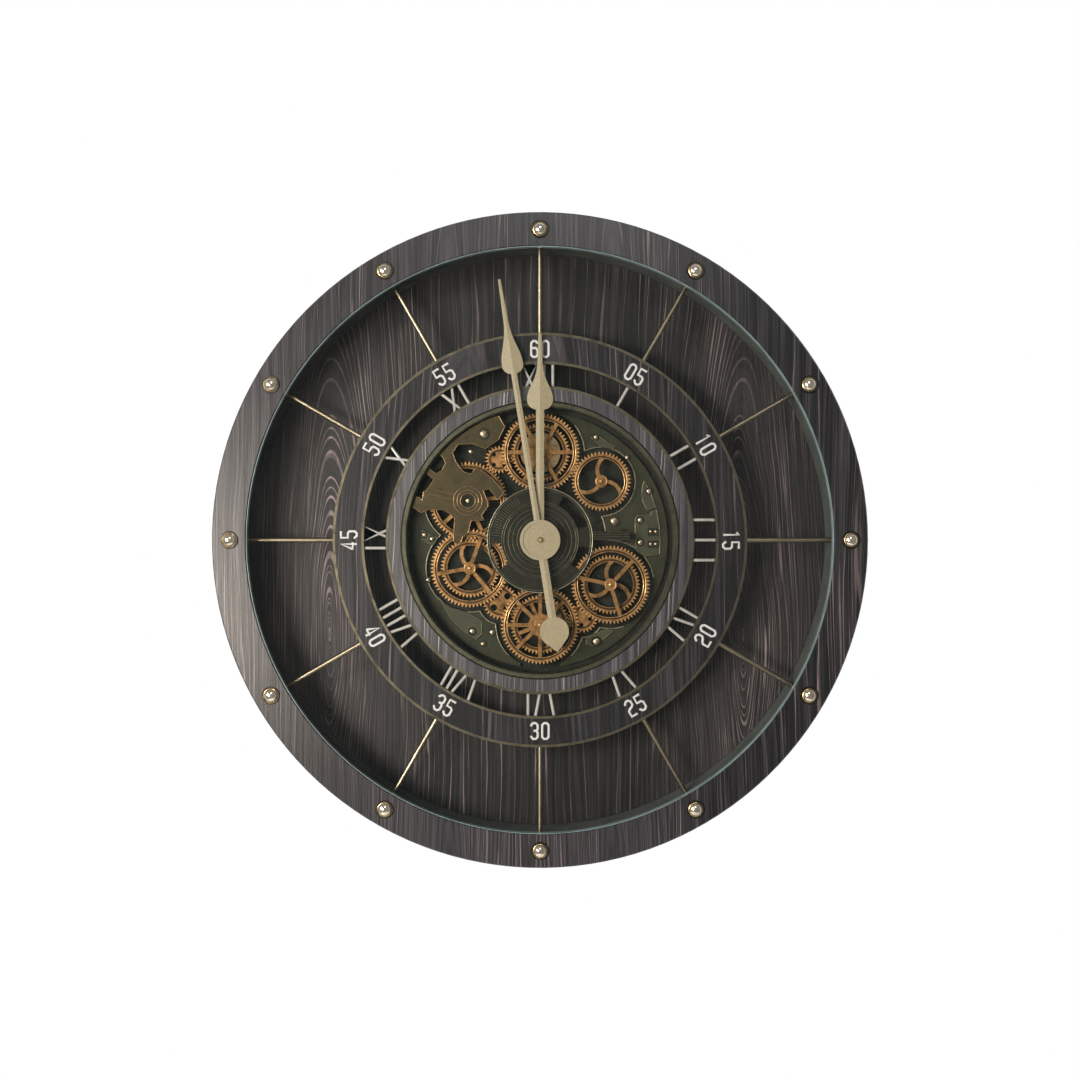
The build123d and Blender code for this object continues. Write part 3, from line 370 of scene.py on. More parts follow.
@dataclass(frozen=True)
class Grain(Pattern):
    """Printed wood grain.

    It follows the level lines of a long upright ellipse on each side of the clock, so it runs upright
    and closes in arches round the ellipse's middle. Waves are given along X, Y and Z, and a range is
    the part of a noise's values that is used.

    Attributes:
        wander_waves: Waves per metre in which the grain strays sideways.
        wander_range: Range of that noise.
        stray: How far the grain strays.
        crowding: Power of the squared distance from an ellipse's middle that gives the level.
        arch_levels: Levels at which an arch is at its strongest and at which it ends.
        arch_tone: How much lighter the bands of an arch are.
        arch_veins: Least strength of the veins of an arch.
        band_waves: Waves of the light bands, across the levels and along the height.
        band_range: Range of that noise.
        rows: Rows of veins per unit of level.
        sway_waves: Waves in which the rows sway, across the levels and along the height.
        sway_shift: Shift of that noise.
        sway_range: Range of that noise.
        vein_width: Distances from a row's middle at which a vein starts to fade and ends, in rows.
        chance_range: Range of the chance that gives a row its strength.
        faintest: Strength of the faintest row.
        patch_waves: Waves per metre of the patches where the veins are faint.
        patch_shift: Shift of that noise.
        patch_range: Range of that noise.
        patch_least: What such a patch leaves of a vein.
        break_waves: Waves per metre of the short breaks in the veins.
        break_shift: Shift of that noise.
        break_range: Range of that noise.
        break_least: What a break leaves of a vein.
        fine_waves: Waves per metre of the fine streaks.
    """

    wander_waves: Triple = (6.0, 6.0, 2.4)
    wander_range: Point = (0.2, 0.8)
    stray: float = 0.012
    crowding: float = 0.3
    arch_levels: Point = (0.16, 0.31)
    arch_tone: float = 0.7
    arch_veins: float = 0.65
    band_waves: Triple = (130.0, 1.0, 2.0)
    band_range: Point = (0.47, 0.68)
    rows: float = 160.0
    sway_waves: Triple = (70.0, 1.0, 2.2)
    sway_shift: Triple = (5.0, 0.0, 2.0)
    sway_range: Point = (0.25, 0.75)
    vein_width: Point = (0.04, 0.13)
    chance_range: Point = (0.25, 1.0)
    faintest: float = 0.05
    patch_waves: Triple = (15.0, 15.0, 3.0)
    patch_shift: Triple = (1.3, 0.0, 0.4)
    patch_range: Point = (0.42, 0.62)
    patch_least: float = 0.25
    break_waves: Triple = (150.0, 150.0, 14.0)
    break_shift: Triple = (0.2, 0.0, 0.7)
    break_range: Point = (0.36, 0.56)
    break_least: float = 0.35
    fine_waves: Triple = (420.0, 420.0, 9.0)

    def draw(self, graph: Graph, given: Sockets) -> dict[str, Socket]:
        """Adds the nodes of the bands, the veins and the fine streaks.

        Args:
            graph: Graph on the group.
            given: The group's inputs.

        Returns:
            What goes to the group's outputs, by their names.
        """
        vector = given["Vector"]
        place = graph.parts(vector)
        wander = graph.streaks(vector, self.wander_waves, detail=2.0)
        across = graph.minus(graph.math("ABSOLUTE", place["X"]), given["Center"])
        across = graph.plus(across, graph.span(wander, *self.wander_range, -self.stray, self.stray))
        along = graph.times(graph.minus(place["Z"], given["Foot"]), given["Slope"])
        squares = graph.plus(graph.times(across, across), graph.times(along, along))
        level = graph.math("POWER", squares, self.crowding)
        near = graph.times(graph.span(level, *self.arch_levels, 1.0, 0.0), given["Arch"])
        spot = graph.node("ShaderNodeCombineXYZ")
        graph.feed(spot.inputs["X"], level)
        graph.feed(spot.inputs["Z"], place["Z"])
        bands = graph.streaks(spot.outputs[0], self.band_waves, detail=4.0, roughness=0.72)
        tone = graph.plus(graph.span(bands, *self.band_range), graph.times(near, self.arch_tone))
        veins = graph.times(self.veins(graph, level, spot.outputs[0], near), self.gaps(graph, vector))
        fine = graph.streaks(vector, self.fine_waves, detail=4.0, roughness=0.6)
        return {"Tone": tone, "Lines": veins, "Fine": fine}

    def veins(self, graph: Graph, level: Socket, spot: Socket, near: Socket) -> Socket:
        """Adds the thin light veins, one in the middle of each row of levels.

        Args:
            graph: Graph on the group.
            level: The level.
            spot: The level and the height, as a vector.
            near: How near the middle of an arch is.

        Returns:
            Strength of the veins.
        """
        sway = graph.streaks(spot, self.sway_waves, self.sway_shift, detail=2.0, roughness=0.5)
        rows = graph.plus(graph.times(level, self.rows), graph.span(sway, *self.sway_range, -1.0, 1.0))
        row = graph.math("FLOOR", rows)
        apart = graph.math("ABSOLUTE", graph.minus(graph.minus(rows, row), 0.5))
        chance = graph.node("ShaderNodeTexWhiteNoise", noise_dimensions="1D")
        graph.feed(chance.inputs["W"], row)
        strength = graph.span(chance.outputs["Value"], *self.chance_range, self.faintest, 1.0)
        strength = graph.math("MAXIMUM", strength, graph.times(near, self.arch_veins))
        return graph.times(graph.span(apart, *self.vein_width, 1.0, 0.0), strength)

    def gaps(self, graph: Graph, vector: Socket) -> Socket:
        """Adds the patches and the breaks of the veins.

        Args:
            graph: Graph on the group.
            vector: Place on the piece.

        Returns:
            What they leave of a vein.
        """
        patches = graph.streaks(vector, self.patch_waves, self.patch_shift)
        breaks = graph.streaks(vector, self.break_waves, self.break_shift, detail=2.0)
        left = graph.span(patches, *self.patch_range, self.patch_least, 1.0)
        return graph.times(left, graph.span(breaks, *self.break_range, self.break_least, 1.0))


@dataclass(frozen=True)
class Patina(Pattern):
    """Worn and dull patches of an old surface.

    Attributes:
        cloud_range: Range of the noise that gives the patches.
        speck_scale: Specks per patch.
        speck_range: Range of the noise that gives the specks.
        speck_share: How far a speck changes the wear.
    """

    cloud_range: Point = (0.34, 0.68)
    speck_scale: float = 7.0
    speck_range: Point = (0.3, 0.7)
    speck_share: float = 0.18

    def draw(self, graph: Graph, given: Sockets) -> dict[str, Socket]:
        """Adds the nodes of the patches and the specks.

        Args:
            graph: Graph on the group.
            given: The group's inputs.

        Returns:
            What goes to the group's outputs, by their names.
        """
        cloud = graph.noise(given["Vector"], given["Scale"], detail=5.0, roughness=0.62)
        fine = graph.times(given["Scale"], self.speck_scale)
        speck = graph.noise(given["Vector"], fine, detail=3.0, roughness=0.6)
        change = graph.span(speck, *self.speck_range, -self.speck_share, self.speck_share)
        wear = graph.plus(graph.span(cloud, *self.cloud_range), change, clamp=True)
        return {"Wear": wear, "Speck": speck}


GRAIN = Grain("wood_grain", ("Center", "Foot", "Slope", "Arch"), ("Tone", "Lines", "Fine"))
PATINA = Patina("patina", ("Scale",), ("Wear", "Speck"))


# Finishes


@dataclass(frozen=True)
class Finish:
    """One surface finish.

    Attributes:
        name: Name of its material.
        roughness: Roughness where the surface is at its smoothest.
    """

    name: str
    roughness: float

    def material(self) -> bpy.types.Material:
        """Builds the finish's material at its first use.

        Returns:
            The material.
        """
        known = bpy.data.materials.get(self.name)
        if known is not None:
            return known
        made = bpy.data.materials.new(self.name)
        made.use_nodes = True
        self.dress(Graph(made.node_tree), made.node_tree.nodes["Principled BSDF"])
        return made

    def dress(self, graph: Graph, shader: Node) -> None:
        """Builds the nodes that feed the shader."""
        raise NotImplementedError


@dataclass(frozen=True)
class WoodPrint(Finish):
    """Dark wood-grain print under a satin lacquer.

    Attributes:
        ground: Darkest colour of the print.
        band: Colour of its lighter bands.
        vein: Colour of its thin light veins.
        center: Distance of each arch from the clock's axis.
        foot: Height of the middle of the arches.
        slope: Width of an arch as a part of its height.
        shift: Shift of the print, so that no two pieces carry the same part of it.
        specular: Strength of the lacquer's reflection.
        veining: Strength of the veins.
        arch: How much stronger the print is near the middle of the arches.
        back: Depth up to which the board is left plain.
        shade_range: Range of the fine streaks that darkens and lightens the print.
        shades: Darkest and lightest of these shades.
        gloss_range: Range of the fine streaks that changes the gloss.
        gloss: How far the roughness goes below and above the finish's own.
        band_relief: Height of the bands as a part of the height of the streaks.
        relief: Height of the streaks.
        bump: Strength of the relief.
    """

    ground: Color
    band: Color
    vein: Color
    center: float
    foot: float
    slope: float
    shift: Triple = ORIGIN
    specular: float = 0.3
    veining: float = 1.0
    arch: float = 0.0
    back: float = -1.0
    shade_range: Point = (0.3, 0.7)
    shades: Point = (0.62, 1.18)
    gloss_range: Point = (0.25, 0.75)
    gloss: Point = (-0.04, 0.08)
    band_relief: float = 0.8
    relief: float = 0.5 * MM
    bump: float = 0.16

    def dress(self, graph: Graph, shader: Node) -> None:
        """Builds the print's colour, gloss and relief.

        Args:
            graph: Graph on the material.
            shader: The material's shader.
        """
        ellipse = {"Center": self.center, "Foot": self.foot, "Slope": self.slope, "Arch": self.arch}
        grain = GRAIN.use(graph, graph.stretch(graph.place(), (1.0, 1.0, 1.0), self.shift), **ellipse)
        fine = grain["Fine"]
        tone = graph.mix(grain["Tone"], self.ground, self.band)
        tone = graph.mix(graph.times(grain["Lines"], self.veining), tone, self.vein)
        scale = graph.node("ShaderNodeVectorMath", operation="SCALE")
        graph.feed(scale.inputs[0], tone)
        graph.feed(scale.inputs["Scale"], graph.span(fine, *self.shade_range, *self.shades))
        plain = graph.math("GREATER_THAN", graph.parts(graph.place())["Y"], -self.back)
        board = graph.mix(fine, BOARD_DARK, BOARD_LIGHT)
        graph.feed(shader.inputs["Base Color"], graph.mix(plain, scale.outputs[0], board))
        smooth, dull = (self.roughness + change for change in self.gloss)
        graph.feed(shader.inputs["Roughness"], graph.span(fine, *self.gloss_range, smooth, dull))
        shader.inputs["Specular IOR Level"].default_value = self.specular
        height = graph.plus(fine, graph.times(grain["Tone"], self.band_relief))
        graph.feed(shader.inputs["Normal"], graph.bump(height, self.bump, self.relief))


@dataclass(frozen=True)
class Metal(Finish):
    """Metal with worn bright places and dull ones.

    Attributes:
        bright: Colour where the metal is worn bright.
        dull: Colour where it is dull.
        scale: Number of patches per metre.
        spread: Roughness that the dull places have more.
        relief: Depth of the surface's unevenness.
        bump: Strength of that unevenness.
    """

    bright: Color
    dull: Color
    scale: float = 90.0
    spread: float = 0.2
    relief: float = 0.15 * MM
    bump: float = 0.25

    def dress(self, graph: Graph, shader: Node) -> None:
        """Builds the metal's colour, gloss and relief.

        Args:
            graph: Graph on the material.
            shader: The material's shader.
        """
        patina = PATINA.use(graph, graph.place(), Scale=self.scale)
        wear = patina["Wear"]
        graph.feed(shader.inputs["Base Color"], graph.mix(wear, self.dull, self.bright))
        shader.inputs["Metallic"].default_value = 1.0
        rough = graph.span(wear, 0.0, 1.0, self.roughness + self.spread, self.roughness)
        graph.feed(shader.inputs["Roughness"], rough)
        graph.feed(shader.inputs["Normal"], graph.bump(patina["Speck"], self.bump, self.relief))


@dataclass(frozen=True)
class GearCopper(Metal):
    """Antique copper of one wheel, with a painted highlight on its teeth and a painted shade in the groove
    of its rim.

    Distances are measured from the tips of the teeth towards the middle.

    Attributes:
        teeth: Colour of the tips of the teeth, lighter as a painted highlight.
        groove: Colour of the groove, dark as a painted shade.
        center: Middle of the wheel, across and up.
        tip: Radius of the tips of the teeth.
        flank: Distances between which the metal turns to the colour of the tips.
        groove_inside: Distances between which the groove starts.
        groove_outside: Distances between which it ends.
        groove_shade_strength: Strength of that painted shade.
    """

    teeth: Color = (0.50, 0.29, 0.115, 1.0)
    groove: Color = (0.028, 0.018, 0.010, 1.0)
    center: Point = MIDDLE
    tip: float = 0.05
    flank: Point = (5.4 * MM, 0.6 * MM)
    groove_inside: Point = (8.3 * MM, 7.9 * MM)
    groove_outside: Point = (5.6 * MM, 5.0 * MM)
    groove_shade_strength: float = 0.85

    def dress(self, graph: Graph, shader: Node) -> None:
        """Builds the copper and paints a highlight and a shade on it by the distance from the wheel's
        middle.

        Args:
            graph: Graph on the material.
            shader: The material's shader.
        """
        super().dress(graph, shader)
        plain = shader.inputs["Base Color"].links[0].from_socket
        from_middle = graph.stretch(graph.place(), (1.0, 0.0, 1.0), (-self.center[0], 0.0, -self.center[1]))
        reach = graph.node("ShaderNodeVectorMath", operation="LENGTH")
        graph.feed(reach.inputs[0], from_middle)
        inward = graph.minus(self.tip, reach.outputs["Value"])
        # Painted highlight: lighter towards the tips of the teeth
        tone = graph.mix(graph.span(inward, *reversed(self.flank), 1.0, 0.0), plain, self.teeth)
        # Painted shade: darker in the groove between the rim's beads
        inside = graph.span(inward, *reversed(self.groove_inside), 1.0, 0.0)
        outside = graph.span(inward, *reversed(self.groove_outside))
        dark = graph.times(graph.times(inside, outside), self.groove_shade_strength)
        graph.feed(shader.inputs["Base Color"], graph.mix(dark, tone, self.groove))


@dataclass(frozen=True)
class Coating(Finish):
    """Paint, plastic, rubber or board: an even colour with a little variation.

    Attributes:
        tone: Main colour.
        shade: Colour of the darker or worn places.
        scale: Number of patches per metre.
        specular: Strength of the reflection.
        relief: Depth of the surface's texture.
        spread: Roughness that the worn places have more.
        bump: Strength of the texture.
    """

    tone: Color
    shade: Color
    scale: float = 120.0
    specular: float = 0.4
    relief: float = 0.1 * MM
    spread: float = 0.12
    bump: float = 0.2

    def dress(self, graph: Graph, shader: Node) -> None:
        """Builds the coating's colour, gloss and texture.

        Args:
            graph: Graph on the material.
            shader: The material's shader.
        """
        patina = PATINA.use(graph, graph.place(), Scale=self.scale)
        wear = patina["Wear"]
        graph.feed(shader.inputs["Base Color"], graph.mix(wear, self.shade, self.tone))
        rough = graph.span(wear, 0.0, 1.0, self.roughness + self.spread, self.roughness)
        graph.feed(shader.inputs["Roughness"], rough)
        shader.inputs["Specular IOR Level"].default_value = self.specular
        graph.feed(shader.inputs["Normal"], graph.bump(patina["Speck"], self.bump, self.relief))


@dataclass(frozen=True)
class Glass(Finish):
    """Thin clear glass.

    Attributes:
        tint: Colour of the little that the glass keeps back.
        cover: Share of the light that it keeps back.
        dust: Colour of the film of dust on it.
        dust_scale: Patches of dust per metre.
        dust_cover: How many times as much light the dust keeps back.
        dust_spread: Roughness that the dust adds.
        edge_power: How fast the glass closes towards a flat view.
        edge_cover: Share of the light that it keeps back in a flat view.
    """

    tint: Color
    cover: float
    dust: Color = gray(0.12)
    dust_scale: float = 6.0
    dust_cover: float = 1.6
    dust_spread: float = 0.05
    edge_power: float = 4.0
    edge_cover: float = 0.55

    def dress(self, graph: Graph, shader: Node) -> None:
        """Builds the glass, with a faint film of dust.

        Args:
            graph: Graph on the material.
            shader: The material's shader.
        """
        wear = PATINA.use(graph, graph.place(), Scale=self.dust_scale)["Wear"]
        graph.feed(shader.inputs["Base Color"], graph.mix(wear, self.tint, self.dust))
        rough = graph.span(wear, 0.0, 1.0, self.roughness, self.roughness + self.dust_spread)
        graph.feed(shader.inputs["Roughness"], rough)
        facing = graph.node("ShaderNodeLayerWeight").outputs["Facing"]
        flat = graph.times(graph.math("POWER", facing, self.edge_power), self.edge_cover)
        film = graph.span(wear, 0.0, 1.0, self.cover, self.cover * self.dust_cover)
        graph.feed(shader.inputs["Alpha"], graph.math("MAXIMUM", film, flat))


BOARD_DARK: Color = (0.045, 0.034, 0.025, 1.0)
BOARD_LIGHT: Color = (0.085, 0.066, 0.049, 1.0)
WOOD_GROUND: Color = (0.0065, 0.0067, 0.0072, 1.0)
WOOD_BAND: Color = (0.040, 0.037, 0.043, 1.0)
WOOD_VEIN: Color = (0.30, 0.235, 0.22, 1.0)
INNER_GROUND: Color = (0.0075, 0.008, 0.009, 1.0)
INNER_BAND: Color = (0.086, 0.082, 0.093, 1.0)
INNER_VEIN: Color = (0.34, 0.31, 0.31, 1.0)
PANEL_GROUND: Color = (0.0055, 0.0055, 0.005, 1.0)
PANEL_BAND: Color = (0.026, 0.0235, 0.0245, 1.0)

RIM_WOOD = WoodPrint(
    "rim_wood_print", 0.28, WOOD_GROUND, WOOD_BAND, WOOD_VEIN,
    center=0.10, foot=-0.9, slope=0.03, shift=(0.013, 0.0, 0.3), specular=0.42, arch=0.5,
)
RING_WOOD = WoodPrint(
    "ring_wood_print", 0.38, WOOD_GROUND, WOOD_BAND, WOOD_VEIN,
    center=0.05, foot=-0.7, slope=0.04, shift=(0.04, 0.0, 0.9), specular=0.2, veining=0.8,
)
INNER_WOOD = WoodPrint(
    "inner_wood_print", 0.36, INNER_GROUND, INNER_BAND, INNER_VEIN,
    center=-0.02, foot=-0.7, slope=0.01, shift=(0.0, 0.0, 0.5), specular=0.7, veining=2.4,
)
PANEL_WOOD = WoodPrint(
    "panel_wood_print", 0.46, PANEL_GROUND, PANEL_BAND, WOOD_VEIN,
    center=0.262, foot=-0.12, slope=0.12, specular=0.18, veining=1.1, arch=1.0, back=2.5 * MM,
)
EDGE_BRONZE = Metal("edge_bronze", 0.36, (0.125, 0.112, 0.076, 1), (0.055, 0.049, 0.034, 1), 60.0)
LIP_EDGE = Coating("lip_edge", 0.30, (0.20, 0.28, 0.28, 1), (0.12, 0.165, 0.165, 1), 40.0)
STUD_NICKEL = Metal(
    "stud_nickel", 0.09, (0.84, 0.76, 0.62, 1), (0.55, 0.48, 0.37, 1), 70.0, 0.1, 0.01 * MM
)
RIVET_NICKEL = Metal(
    "rivet_nickel", 0.30, (0.42, 0.34, 0.23, 1), (0.22, 0.175, 0.12, 1), 200.0, 0.1, 0.03 * MM
)
# Dark metal of the stud cups, darkened further as a painted shadow round the studs
CUP_DARK = Metal("cup_dark", 0.34, (0.075, 0.068, 0.058, 1), (0.022, 0.02, 0.018, 1), 120.0)
ROD_NICKEL = Metal(
    "rod_nickel", 0.32, (0.31, 0.262, 0.178, 1), (0.20, 0.168, 0.112, 1), 40.0, 0.05, 0.005 * MM
)
NUMERAL_SILVER = Coating(
    "numeral_silver", 0.26, (0.40, 0.39, 0.35, 1), (0.26, 0.25, 0.225, 1), 60.0, 0.7, 0.04 * MM
)
BEZEL_BRONZE = Metal("bezel_bronze", 0.36, (0.092, 0.092, 0.060, 1), (0.042, 0.042, 0.029, 1), 80.0)
# Wheel copper; each wheel gets a copy with a painted highlight on its teeth and painted shade in its groove
COPPER = GearCopper("antique_copper", 0.40, (0.33, 0.185, 0.07, 1), (0.10, 0.054, 0.021, 1))
# Beads and hub caps of the wheels: worn copper with a painted highlight
COPPER_BRIGHT = Metal("worn_highlight_copper", 0.34, (0.52, 0.31, 0.13, 1), (0.24, 0.135, 0.053, 1))
BARREL_BRONZE = Metal("barrel_bronze", 0.30, (0.34, 0.25, 0.13, 1), (0.10, 0.075, 0.042, 1))
BRASS = Metal("brass", 0.20, (0.78, 0.60, 0.28, 1), (0.36, 0.26, 0.12, 1), 110.0)
CHAMPAGNE = Coating(
    "champagne_hands", 0.40, (0.28, 0.238, 0.142, 1), (0.22, 0.187, 0.11, 1), 420.0, 0.4, 0.05 * MM
)
GUNMETAL = Coating(
    "gunmetal_paint", 0.36, (0.028, 0.0302, 0.0148, 1), (0.0165, 0.0178, 0.009, 1), 70.0, 0.17
)
PLATE_OLIVE = Coating("plate_olive", 0.36, (0.046, 0.0485, 0.0255, 1), (0.032, 0.034, 0.018, 1), 70.0, 0.2)
PLATE_EDGE = Metal("plate_edge", 0.44, (0.20, 0.195, 0.125, 1), (0.10, 0.098, 0.064, 1))
GUNMETAL_EDGE = Metal("gunmetal_edge", 0.40, (0.40, 0.37, 0.25, 1), (0.20, 0.185, 0.125, 1))
BRIDGE_BRONZE = Metal("bridge_bronze", 0.36, (0.070, 0.057, 0.031, 1), (0.040, 0.034, 0.019, 1), 60.0, 0.12)
# Coppery edging of the bridge: worn metal with a painted highlight
BRIDGE_EDGE = Metal("bridge_edge", 0.34, (0.36, 0.225, 0.105, 1), (0.18, 0.11, 0.052, 1))
SPIDER_EDGE = Metal("spider_edge", 0.42, (0.125, 0.121, 0.075, 1), (0.06, 0.058, 0.037, 1))
SPIDER_BLACK = Coating(
    "spider_black", 0.38, (0.0135, 0.0142, 0.0076, 1), (0.0085, 0.009, 0.005, 1), 70.0, 0.13
)
STEEL = Metal("zinc_steel", 0.32, (0.60, 0.60, 0.59, 1), (0.42, 0.42, 0.41, 1), 60.0)
DRUM_PAINT = Coating("drum_paint", 0.42, (0.073, 0.081, 0.072, 1), (0.046, 0.052, 0.046, 1), 30.0)
HOUSING_PAINT = Coating("housing_paint", 0.5, (0.030, 0.030, 0.028, 1), (0.016, 0.016, 0.015, 1), 60.0)
# Black paint of the base plate, which also stands for the shade in the deep trenches round the wheels; also
# the colour of painted shadow plates and screw crosses
BASE_BLACK = Coating(
    "base_black", 0.6, (0.0150, 0.0165, 0.0105, 1), (0.0078, 0.0086, 0.0056, 1), 120.0, 0.15
)
RUBBER = Coating("gasket_rubber", 0.7, gray(0.020), gray(0.012), 200.0, 0.2)
BLACK_PLASTIC = Coating("black_plastic", 0.42, (0.028, 0.028, 0.029, 1), (0.018, 0.018, 0.019, 1), 260.0)
GRAY_PLASTIC = Coating("gray_plastic", 0.4, gray(0.22), gray(0.16), 220.0)
CELL_SLEEVE = Coating("cell_sleeve", 0.28, (0.10, 0.22, 0.12, 1), (0.06, 0.15, 0.08, 1), 90.0, 0.5)
WHITE_PAINT = Coating("figure_white", 0.38, (0.55, 0.55, 0.53, 1), (0.44, 0.44, 0.42, 1), 160.0)
FLOOR_WHITE = Coating("floor_white", 0.8, gray(0.9), gray(0.86), 3.0, 0.1)
CLEAR_GLASS = Glass("clear_glass", 0.03, (0.05, 0.08, 0.075, 1), 0.02)


# Places


def dial_point(radius: float, angle: float, depth: float) -> Vector:
    """Returns a point by its distance from the axis, dial angle and depth."""
    turn = math.radians(angle)
    return Vector((radius * math.sin(turn), -depth, radius * math.cos(turn)))


def center_of(node: str) -> Point:
    """Returns where a CAD node's middle is, across and up."""
    low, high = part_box(node)
    return ((low.x + high.x) / 2, (low.z + high.z) / 2)


def front_of(node: str) -> float:
    """Returns the depth of a CAD node's front."""
    return -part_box(node)[0].y


def back_of(node: str) -> float:
    """Returns the depth of a CAD node's back."""
    return -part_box(node)[1].y


def tip_of(node: str) -> float:
    """Returns the radius of the tips of a wheel's teeth."""
    low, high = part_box(node)
    return max(high.x - low.x, high.z - low.z) / 2


# Pieces


def finish_nodes(finishes: dict[str, Finish]) -> None:
    """Gives CAD nodes their finishes.

    Args:
        finishes: Finish of each node, by the node's name.
    """
    for node, finish in finishes.items():
        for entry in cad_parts[node].material_slots:
            entry.material = finish.material()
        LOG.info("%s finished in %s", node, finish.name)


def add_piece(
    mesh: Mesh, name: str, finish: Finish, stands_for: Sequence[str] = (), body: Body = Body.CASE
) -> None:
    """Makes a piece of a finished mesh.

    Args:
        mesh: The mesh, which is used up.
        name: Name of the piece.
        finish: What it is finished in.
        stands_for: CAD nodes that it is shown for.
        body: CAD body that it rides on.
    """
    bmesh.ops.remove_doubles(mesh, verts=mesh.verts, dist=WELD)
    bmesh.ops.recalc_face_normals(mesh, faces=mesh.faces)
    data = bpy.data.meshes.new(name)
    mesh.to_mesh(data)
    mesh.free()
    for face in data.polygons:
        face.use_smooth = True
    data.set_sharp_from_angle(angle=math.radians(SHARP_FROM))
    data.materials.append(finish.material())
    piece = bpy.data.objects.new(name, data)
    bpy.context.scene.collection.objects.link(piece)
    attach(piece, body.value)
    if stands_for:
        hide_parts(*stands_for)
    LOG.info("%s made on %s", name, body.value)


def add_turned(mesh: Mesh, profile: Sequence[Point], center: Point, steps: int) -> None:
    """Turns a closed profile round an axis that is square to the dial.

    Args:
        mesh: Mesh that it is added to.
        profile: Points as (radius, depth), in order.
        center: Where the axis is, across and up.
        steps: Number of sides of the turned shape.
    """
    points = [mesh.verts.new((center[0] + radius, -depth, center[1])) for radius, depth in profile]
    edges = [mesh.edges.new(pair) for pair in zip(points, points[1:] + points[:1])]
    spin(mesh, points + edges, center, FULL_TURN, steps)


def spin(mesh: Mesh, section: list, center: Point, sweep: float, steps: int) -> None:
    """Sweeps a section round an axis that is square to the dial.

    Args:
        mesh: Mesh that the section is in.
        section: Its points, edges and faces.
        center: Where the axis is, across and up.
        sweep: Angle that it is swept through.
        steps: Number of steps of the sweep.
    """
    bmesh.ops.spin(
        mesh,
        geom=section,
        cent=(center[0], 0.0, center[1]),
        axis=(0.0, 1.0, 0.0),
        angle=math.radians(sweep),
        steps=steps,
        use_merge=sweep >= FULL_TURN,
        use_duplicate=False,
    )


def add_bead(
    mesh: Mesh,
    radius: float,
    depth: float,
    center: Point,
    size: float,
    steps: int,
    start: float = 0.0,
    sweep: float = FULL_TURN,
) -> None:
    """Adds a round bead that runs in a circle, or part of one, on a face.

    Args:
        mesh: Mesh that it is added to.
        radius: Radius of the circle.
        depth: Depth of the face.
        center: Middle of the circle, across and up.
        size: Half of the bead's thickness.
        steps: Number of sides of the whole circle.
        start: Dial angle at which it starts.
        sweep: Angle that it runs through.
    """
    part = sweep < FULL_TURN
    ring = bmesh.ops.create_circle(mesh, cap_ends=part, segments=BEAD_SIDES, radius=size)["verts"]
    bmesh.ops.translate(mesh, verts=ring, vec=(radius, 0.0, 0.0))
    turn = Matrix.Rotation(math.radians(start - 90.0), 3, "Y")
    bmesh.ops.rotate(mesh, verts=ring, cent=ORIGIN, matrix=turn)
    bmesh.ops.translate(mesh, verts=ring, vec=(center[0], -depth, center[1]))
    edges = list(dict.fromkeys(edge for vert in ring for edge in vert.link_edges))
    faces = list(dict.fromkeys(face for vert in ring for face in vert.link_faces))
    spin(mesh, ring + edges + faces, center, sweep, max(2, round(steps * sweep / FULL_TURN)))


def add_dome(
    mesh: Mesh, center: Vector, radius: float, height: float, sides: int = 16, rings: int = 10
) -> None:
    """Adds a dome that stands on a face and points forward.

    Args:
        mesh: Mesh that it is added to.
        center: Middle of its foot.
        radius: Radius of its foot.
        height: How far it stands out.
        sides: Sides round it.
        rings: Rings of the whole ball that it is cut from.
    """
    place = Matrix.Translation(center) @ Matrix.Diagonal((radius, height, radius, 1.0))
    place = place @ Matrix.Rotation(math.pi / 2, 4, "X")
    size = {"u_segments": sides, "v_segments": rings, "radius": 1.0}
    ball = bmesh.ops.create_uvsphere(mesh, matrix=place, **size)["verts"]
    behind = [vert for vert in ball if vert.co.y > center.y + WELD]
    bmesh.ops.delete(mesh, geom=behind, context="VERTS")
    left = [edge for vert in ball if vert.is_valid for edge in vert.link_edges]
    foot = dict.fromkeys(edge for edge in left if edge.is_boundary)
    bmesh.ops.contextual_create(mesh, geom=list(foot))


def add_bar(mesh: Mesh, start: Vector, end: Vector, radius: float, sides: int = 8) -> None:
    """Adds a round bar between two points.

    Args:
        mesh: Mesh that it is added to.
        start: Middle of one end.
        end: Middle of the other end.
        radius: Its radius.
        sides: Sides round it.
    """
    run = end - start
    place = Matrix.Translation((start + end) / 2) @ run.to_track_quat("Z", "Y").to_matrix().to_4x4()
    size = {"radius1": radius, "radius2": radius, "depth": run.length}
    bmesh.ops.create_cone(mesh, cap_ends=True, segments=sides, matrix=place, **size)


def add_box(mesh: Mesh, place: Matrix, size: Triple) -> None:
    """Adds a box of a size at a place."""
    bmesh.ops.create_cube(mesh, size=1.0, matrix=place @ Matrix.Diagonal((*size, 1.0)))


def add_head(
    mesh: Mesh, center: Point, depth: float, radius: float, height: float, taper: float = 0.72
) -> None:
    """Adds a low round head that stands on a rear face and points to the wall.

    Args:
        mesh: Mesh that it is added to.
        center: Its middle, across and up.
        depth: Depth of the face.
        radius: Radius of its foot.
        height: How far it stands out.
        taper: Radius of its top as a part of that of its foot.
    """
    place = Matrix.Translation((center[0], -depth + height / 2, center[1]))
    place = place @ Matrix.Rotation(-math.pi / 2, 4, "X")
    size = {"radius1": radius, "radius2": taper * radius, "depth": height}
    bmesh.ops.create_cone(mesh, cap_ends=True, segments=HEAD_SIDES, matrix=place, **size)


